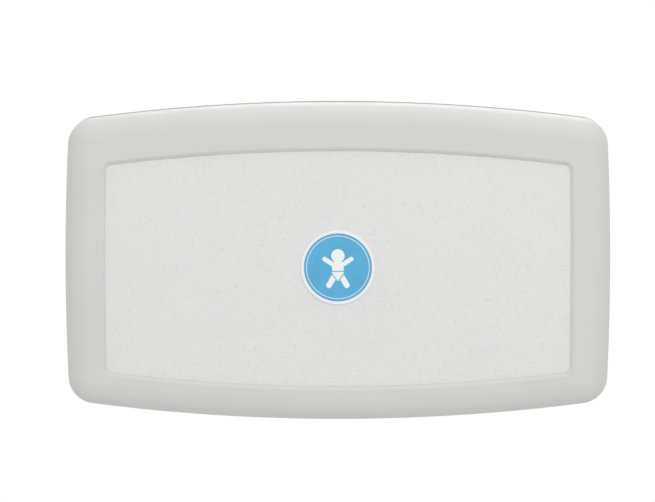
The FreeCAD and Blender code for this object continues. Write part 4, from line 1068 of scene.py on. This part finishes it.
# ---- Safety strap ------------------------------------------------------------------------
@dataclass
class SafetyStrap:
    """Both halves of the woven strap, with thick selvedges, and the stitching that holds their ends."""

    selvedge: float = 1.6 * MM
    swell: float = 0.10
    ripple: float = 0.5 * MM
    ripple_rate: float = 55.0
    anchor_end: float = 30.0 * MM
    flat_end: float = 75.0 * MM
    stitch_length: float = 2.6 * MM
    stitch_radius: float = 0.30 * MM
    stitch_rows: int = 13
    stitches_across: int = 9
    stitch_share: float = 0.78
    cross_share: float = 0.72
    stitch_start: float = 3.0 * MM
    anchor_width: float = 32.0 * MM

    def band(self, side: float) -> Array:
        """A flat band along X.

        Its section is a thin loop whose thickness swells near both selvedges, and it lifts off the tray by a
        ripple times sin^2 of the way along, which is nothing at both ends.
        """
        node = "strap_right" if side > 0.0 else "strap_left"
        a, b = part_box(node)
        x = np.linspace(a.x, b.x, 140)[:, None]
        turn = round_turn(36)[None, :]
        half, thick = (b.z - a.z) / 2.0, (b.y - a.y) / 2.0
        across = powered(np.cos(turn), 0.25)
        up = powered(np.sin(turn), 0.35)
        edge = np.exp(-(((1.0 - np.abs(across)) * half / self.selvedge) ** 2))
        near = b.x if side > 0.0 else a.x
        free = abs(b.x - a.x) - self.anchor_end - self.flat_end
        away = np.clip((np.abs(near - x) - self.anchor_end) / free, 0.0, 1.0)
        lift = self.ripple * np.sin(math.pi * away) ** 2 * (1.0 + 0.35 * np.sin(x * self.ripple_rate))
        depth = thick * (1.0 - self.swell + self.swell * edge) * up
        y = (a.y + b.y) / 2.0 + depth + lift
        z = np.broadcast_to((a.z + b.z) / 2.0 + half * across, y.shape)
        return np.stack([np.broadcast_to(x, y.shape), y, z], axis=-1)

    def build_bands(self) -> None:
        """Both webbing halves, with their cut ends closed by drawing the last section in to a line."""
        for side, name in ((-1.0, "left"), (1.0, "right")):
            mesh = grid_mesh("webbing_" + name, closed(self.band(side)))
            place("webbing_" + name, mesh, Body.BED, Slot.WEBBING, "strap_" + name)

    def stitches(self, centres: Array, along_x: bool) -> Array:
        """Small threads, each an ellipsoid.

        Point = centre + (length cos p, radius sin p cos q, radius sin p sin q), with the length along X or Z.

        Args:
            centres: the middle of each thread.
            along_x: whether the threads lie along X, rather than along Z.

        Returns:
            One grid of points for each thread.
        """
        p = np.linspace(0.0, math.pi, 5)[:, None]
        q = np.linspace(0.0, 2.0 * math.pi, 7)[None, :]
        long = self.stitch_length / 2.0 * np.cos(p) * np.ones_like(q)
        rise = self.stitch_radius * np.sin(p) * np.cos(q)
        wide = self.stitch_radius * np.sin(p) * np.sin(q)
        unit = np.stack([long, rise, wide] if along_x else [wide, rise, long], axis=-1)
        return centres[:, None, None, :] + unit[None]

    def stitch_centres(self) -> list[tuple[Array, bool]]:
        """The middles of the threads: on each end of the webbing, two rows along it and two across it."""
        top = high("strap_right").y + self.stitch_radius * 0.35
        half = high("strap_right").z
        step = self.stitch_length * 1.35
        count = np.arange(self.stitch_rows)
        anchor = low("strap_anchors").x, high("strap_anchors").x
        groups = []
        for side, end in ((-1.0, anchor[0]), (1.0, anchor[1])):
            x = end - side * (self.anchor_width + self.stitch_start + step * count)
            for z in (-half * self.stitch_share, half * self.stitch_share):
                groups.append((np.stack([x, np.full_like(x, top), np.full_like(x, z)], axis=-1), True))
            reach = half * self.cross_share
            z = np.linspace(-reach, reach, self.stitches_across)
            for x_row in (x[0], x[-1]):
                groups.append((np.stack([np.full_like(z, x_row), np.full_like(z, top), z], axis=-1), False))
        return groups

    def build_stitches(self) -> None:
        """All the threads as one piece, each a closed grid of its own."""
        work = bmesh.new()
        for centres, along_x in self.stitch_centres():
            for thread in self.stitches(centres, along_x):
                work.from_mesh(grid_mesh("thread", thread, wrap=False))
        mesh = bpy.data.meshes.new("strap_stitches")
        place("strap_stitches", settled(work, mesh), Body.BED, Slot.LINERS)

    def build(self) -> None:
        """Make the webbing and its stitching."""
        self.build_bands()
        self.build_stitches()


# ---- Chassis fittings --------------------------------------------------------------------
@dataclass
class LinerDispenser:
    """The folded liners behind the sliding door."""

    fold: float = 3.6 * MM
    bulge: float = 0.7 * MM
    sag: float = 0.5 * MM

    def build(self) -> None:
        """The stack: a block whose faces bulge once for each folded liner.

        The section at height z is a rounded rectangle drawn in by bulge * (1 - |sin(pi z / fold)|^0.6), and
        the middle of the stack slumps by a sag that grows with the height.
        """
        a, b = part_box("liner_stack")
        z = np.linspace(a.z, b.z, 420)[:, None]
        turn = round_turn(120)[None, :]
        pinch = self.bulge * (1.0 - np.abs(np.sin(math.pi * (z - a.z) / self.fold)) ** 0.6)
        half_x, half_y = (b.x - a.x) / 2.0 - pinch, (b.y - a.y) / 2.0 - pinch
        x = half_x * powered(np.cos(turn), 0.12)
        y = half_y * powered(np.sin(turn), 0.25)
        slump = self.sag * np.cos(math.pi * x / (b.x - a.x)) * (z - a.z) / (b.z - a.z)
        grid = np.stack([(a.x + b.x) / 2.0 + x, (a.y + b.y) / 2.0 + y, z - slump], axis=-1)
        mesh = grid_mesh("folded_liners", closed(grid))
        place("folded_liners", mesh, Body.BASE, Slot.LINERS, "liner_stack")


@dataclass
class SafetyLabel:
    """The instruction plate: three framed pictograms, with no words."""

    columns: int = 360
    rows: int = 150
    emboss: float = 0.12 * MM
    frame_half: float = 33.0 * MM
    pitch: float = 76.0 * MM
    line: float = 1.4 * MM
    frame_round: float = 6.0 * MM
    infant_rise: float = 2.0 * MM
    infant_size: float = 46.0 * MM
    plate_round: float = 8.0 * MM

    def ink(self, x: Array, z: Array) -> Array:
        """The union of three frames, an infant in each, a strap in the second and fingers in the third."""
        half = (self.frame_half, self.frame_half)
        shapes = []
        for k in (-1, 0, 1):
            u = x - k * self.pitch
            shapes.append(frame_distance(u, z, half, self.frame_round, self.line))
            shapes.append(infant(u, z - self.infant_rise, self.infant_size))
        strap = capsule(x, z, (-26.0 * MM, -2.0 * MM), (26.0 * MM, -2.0 * MM), 2.0 * MM)
        u = x - self.pitch
        for offset in (-9.0, -3.0, 3.0, 9.0):
            shapes.append(capsule(u, z, (offset * MM, 30.0 * MM), (offset * 0.8 * MM, 24.0 * MM), 2.2 * MM))
        return inked(np.minimum.reduce([*shapes, strap]), 0.7 * MM)

    def build(self) -> None:
        """A slab whose front rows carry the ink and stand proud where it is printed."""
        a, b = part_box("label_plate")
        corner_r = self.plate_round
        u = np.linspace(-1.0, 1.0, self.columns)
        v = np.linspace(-1.0, 1.0, self.rows)
        half_x, half_z = (b.x - a.x) / 2.0, (b.z - a.z) / 2.0
        x, z = np.meshgrid(u * half_x, v * half_z)
        over = np.clip((np.abs(z) - (half_z - corner_r)) / corner_r, 0.0, 1.0)
        x = x * (half_x - corner_r * (1.0 - np.sqrt(1.0 - over**2))) / half_x
        centre_z = (a.z + b.z) / 2.0
        front = np.stack([x, np.full_like(x, a.y + self.emboss), z + centre_z], axis=-1)
        mesh = bpy.data.meshes.new("label")
        index = np.arange(x.size).reshape(x.shape)
        ink = self.ink(x, z)
        front[..., 1] -= ink * self.emboss
        loop = np.concatenate([index[0, :], index[1:, -1], index[-1, -2::-1], index[-2:0:-1, 0]])
        rim = front.reshape(-1, 3)[loop].copy()
        rim[:, 1] = b.y
        rim_index = np.arange(len(loop)) + x.size
        skirt = np.stack([loop, rim_index, np.roll(rim_index, -1), np.roll(loop, -1)], axis=-1)
        points = np.concatenate([front.reshape(-1, 3), rim])
        mesh.from_pydata(points.tolist(), [], [*quads_over(index), *skirt.tolist(), rim_index[::-1].tolist()])
        printed(mesh, np.concatenate([ink.ravel(), np.zeros(len(loop))]))
        work = bmesh.new()
        work.from_mesh(mesh)
        bmesh.ops.recalc_face_normals(work, faces=work.faces)
        place("safety_label", settled(work, mesh, sharp=50.0), Body.BASE, Slot.LABEL, "label_plate")


@dataclass
class ScrewSet:
    """Pan-headed screws with a hexagonal socket, standing for one group of plain frame screws."""

    node: str
    body: Body
    head_radius: float
    head_height: float
    shank_radius: float = 2.5 * MM
    socket: float = 1.9 * MM
    turns: int = 36

    def screw(self, x: float, z: float, seat: float, tip: float) -> Array:
        """One turned screw along Y.

        The head is a flattened dome, y = seat side + height * sqrt(1 - (r / R)^4) outwards, with a socket
        where r * cos(angle folded into a sixth of a turn) is less than the socket's half width.

        Args:
            x: the axis's X.
            z: the axis's Z.
            seat: the Y of the head's underside.
            tip: the Y of the shank's end.

        Returns:
            The grid of points, one row for each turned ring.
        """
        outwards = -1.0 if tip > seat else 1.0
        near, far = self.socket * 1.3, self.socket * 1.4
        r = np.concatenate([np.linspace(0.0, near, 9), np.linspace(far, self.head_radius, 9)])
        dome = np.sqrt(np.clip(1.0 - (r / self.head_radius) ** 4, 0.0, 1.0))
        angle = round_turn(self.turns)
        fold = np.abs((angle + math.pi / 6.0) % (math.pi / 3.0) - math.pi / 6.0)
        inside = r[:, None] * np.cos(fold)[None, :] < self.socket
        sunk = np.where(inside, 0.55 * self.head_height, 0.0)
        top = self.head_height * (0.35 + 0.65 * dome)[:, None] - sunk
        head_y = seat + outwards * top
        ring = np.ones((1, self.turns))
        head, shank = self.head_radius * ring, self.shank_radius * ring
        rows_r = np.vstack([r[:, None] * ring, head, shank, shank, 0.0 * ring])
        rows_y = np.vstack([head_y, seat * ring, seat * ring, tip * ring, tip * ring])
        return np.stack([x + rows_r * np.cos(angle), rows_y, z + rows_r * np.sin(angle)], axis=-1)

    def centres(self) -> list[tuple[float, float, float, float]]:
        """Where each separate screw of the frame's group is, as x, z, lowest y and highest y."""
        work = bmesh.new()
        work.from_mesh(frame["nodes"][self.node].data)
        bmesh.ops.remove_doubles(work, verts=work.verts, dist=1e-6)
        left = set(work.verts)
        found = []
        while left:
            island, queue = set(), [left.pop()]
            while queue:
                vert = queue.pop()
                island.add(vert)
                fresh = {e.other_vert(vert) for e in vert.link_edges} & left
                left -= fresh
                queue += fresh
            points = np.array([v.co for v in island])
            lowest, highest = points.min(axis=0), points.max(axis=0)
            middle = (lowest + highest) / 2.0
            found.append((middle[0], middle[2], lowest[1], highest[1]))
        work.free()
        return sorted(found)

    def build(self, head_first: bool) -> None:
        """Make the group.

        Args:
            head_first: whether the heads are at the lowest Y of their screws, rather than at the highest.
        """
        work = bmesh.new()
        for x, z, y0, y1 in self.centres():
            seat, tip = (y0 + self.head_height, y1) if head_first else (y1 - self.head_height, y0)
            work.from_mesh(grid_mesh("screw", self.screw(x, z, seat, tip)))
        mesh = bpy.data.meshes.new(self.node + "_socketed")
        place(self.node + "_socketed", settled(work, mesh, sharp=35.0), self.body, Slot.FASTENER, self.node)


# ---- Studio ------------------------------------------------------------------------------
@dataclass(frozen=True)
class Lamp:
    """One square soft light aimed at the station."""

    name: str
    place_at: tuple[float, float, float]
    size: float
    power: float

    def build(self) -> None:
        """Hang the lamp, unseen by the camera."""
        data = bpy.data.lights.new(self.name, "AREA")
        data.size = self.size
        data.energy = self.power
        lamp = in_scene(self.name, data)
        lamp.location = self.place_at
        lamp.rotation_euler = (-Vector(self.place_at)).to_track_quat("-Z", "Y").to_euler()
        lamp.visible_camera = False


@dataclass
class Studio:
    """The pale floor, the soft light and the camera."""

    distance: float = 10.0
    view_width: float = 1075.0 * MM
    sensor: float = 36.0
    elevation: float = math.radians(3.2)
    aim: tuple[float, float] = (-17.0 * MM, 15.8 * MM)
    surround_light: float = 0.82
    lamps: tuple[Lamp, ...] = (
        Lamp("key", (1.6, -3.4, 3.0), 2.0, 24.3),
        Lamp("overhead", (0.3, -0.4, 2.8), 1.6, 10.3),
        Lamp("front", (0.1, -3.6, 0.5), 2.2, 11.1),
        Lamp("rear", (0.4, 2.6, 2.6), 2.4, 29.2),
    )
    floor_z: float = -1.2
    floor_radius: float = 5.8

    def camera(self) -> None:
        """A long lens, a little above the middle of the station, aimed a little left of and above it."""
        data = bpy.data.cameras.new("camera")
        data.sensor_width = self.sensor
        data.lens = self.sensor * self.distance / self.view_width
        data.clip_end = 100.0
        camera = in_scene("camera", data)
        target = Vector((self.aim[0], low("bed_outer_shell").y * 0.6, self.aim[1]))
        back = Vector((0.0, -math.cos(self.elevation), math.sin(self.elevation)))
        camera.location = target + back * self.distance
        camera.rotation_euler = (-back).to_track_quat("-Z", "Y").to_euler()
        bpy.context.scene.camera = camera

    def floor(self) -> None:
        """A wide disc that turns into the white surround towards its edge."""
        turns = round_turn(96)
        radius = np.linspace(0.0, self.floor_radius, 12)[:, None]
        x, y = radius * np.cos(turns), radius * np.sin(turns)
        mesh = grid_mesh("floor", np.stack([x, y, np.full_like(x, self.floor_z)], axis=-1))
        disc = in_scene("floor", mesh)
        g = Graph("floor_finish")
        gradient = g.node("ShaderNodeTexGradient")
        gradient.gradient_type = "SPHERICAL"
        flat = (1.0 / self.floor_radius, 1.0 / self.floor_radius, 0.0)
        g.link(g.stretched(flat), gradient.inputs["Vector"])
        fade = g.spread(gradient.outputs["Fac"], 0.0, 0.55, 1.0, 0.0)
        ends = (0.70, 0.70, 0.70), (0.73, 0.73, 0.73)
        diffuse = g.node("ShaderNodeBsdfDiffuse")
        g.link(g.tint(g.noise(0.4, 3.0), *ends), diffuse.inputs["Color"])
        glow = g.node("ShaderNodeEmission")
        glow.inputs["Color"].default_value = (1.0, 1.0, 1.0, 1.0)
        blend = g.node("ShaderNodeMixShader")
        output = g.node("ShaderNodeOutputMaterial")
        g.link(fade, blend.inputs[0])
        g.link(diffuse.outputs["BSDF"], blend.inputs[1])
        g.link(glow.outputs["Emission"], blend.inputs[2])
        g.link(blend.outputs["Shader"], output.inputs["Surface"])
        mesh.materials.append(g.material)

    def surround(self) -> None:
        """A white backdrop for the camera that lights the station more softly than it looks."""
        world = bpy.data.worlds.new("surround")
        bpy.context.scene.world = world
        world.use_nodes = True
        tree = world.node_tree
        tree.nodes.clear()
        path = tree.nodes.new("ShaderNodeLightPath")
        seen = tree.nodes.new("ShaderNodeBackground")
        seen.inputs["Color"].default_value = (1.0, 1.0, 1.0, 1.0)
        cast = tree.nodes.new("ShaderNodeBackground")
        cast.inputs["Color"].default_value = (0.995, 0.99, 0.985, 1.0)
        cast.inputs["Strength"].default_value = self.surround_light
        mix = tree.nodes.new("ShaderNodeMixShader")
        output = tree.nodes.new("ShaderNodeOutputWorld")
        sources = ((path, "Is Camera Ray"), (cast, "Background"), (seen, "Background"))
        for number, (node, output_name) in enumerate(sources):
            tree.links.new(node.outputs[output_name], mix.inputs[number])
        tree.links.new(mix.outputs["Shader"], output.inputs["Surface"])

    def build(self) -> None:
        """Set the camera, the floor and the lights."""
        self.camera()
        self.floor()
        self.surround()
        for lamp in self.lamps:
            lamp.build()
        bpy.context.scene.view_settings.view_transform = "Standard"


def main() -> None:
    """Build the station's looks in order."""
    logging.basicConfig(level=logging.INFO, format="%(message)s")
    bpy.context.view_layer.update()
    Studio().build()
    WARDROBE.dress_frame()
    shell = BedShell()
    for piece in (shell, Badge(), Tray(shell), SafetyStrap(), LinerDispenser(), SafetyLabel()):
        piece.build()
    ScrewSet("tray_screws", Body.BED, 5.0 * MM, 1.2 * MM).build(head_first=False)
    ScrewSet("anchor_screws", Body.BED, 5.0 * MM, 1.2 * MM).build(head_first=False)
    ScrewSet("hook_screws", Body.BASE, 5.0 * MM, 1.2 * MM).build(head_first=True)
    ScrewSet("chassis_screws", Body.BASE, 7.5 * MM, 3.0 * MM, socket=2.6 * MM).build(head_first=True)


if __name__ == "__main__":
    main()
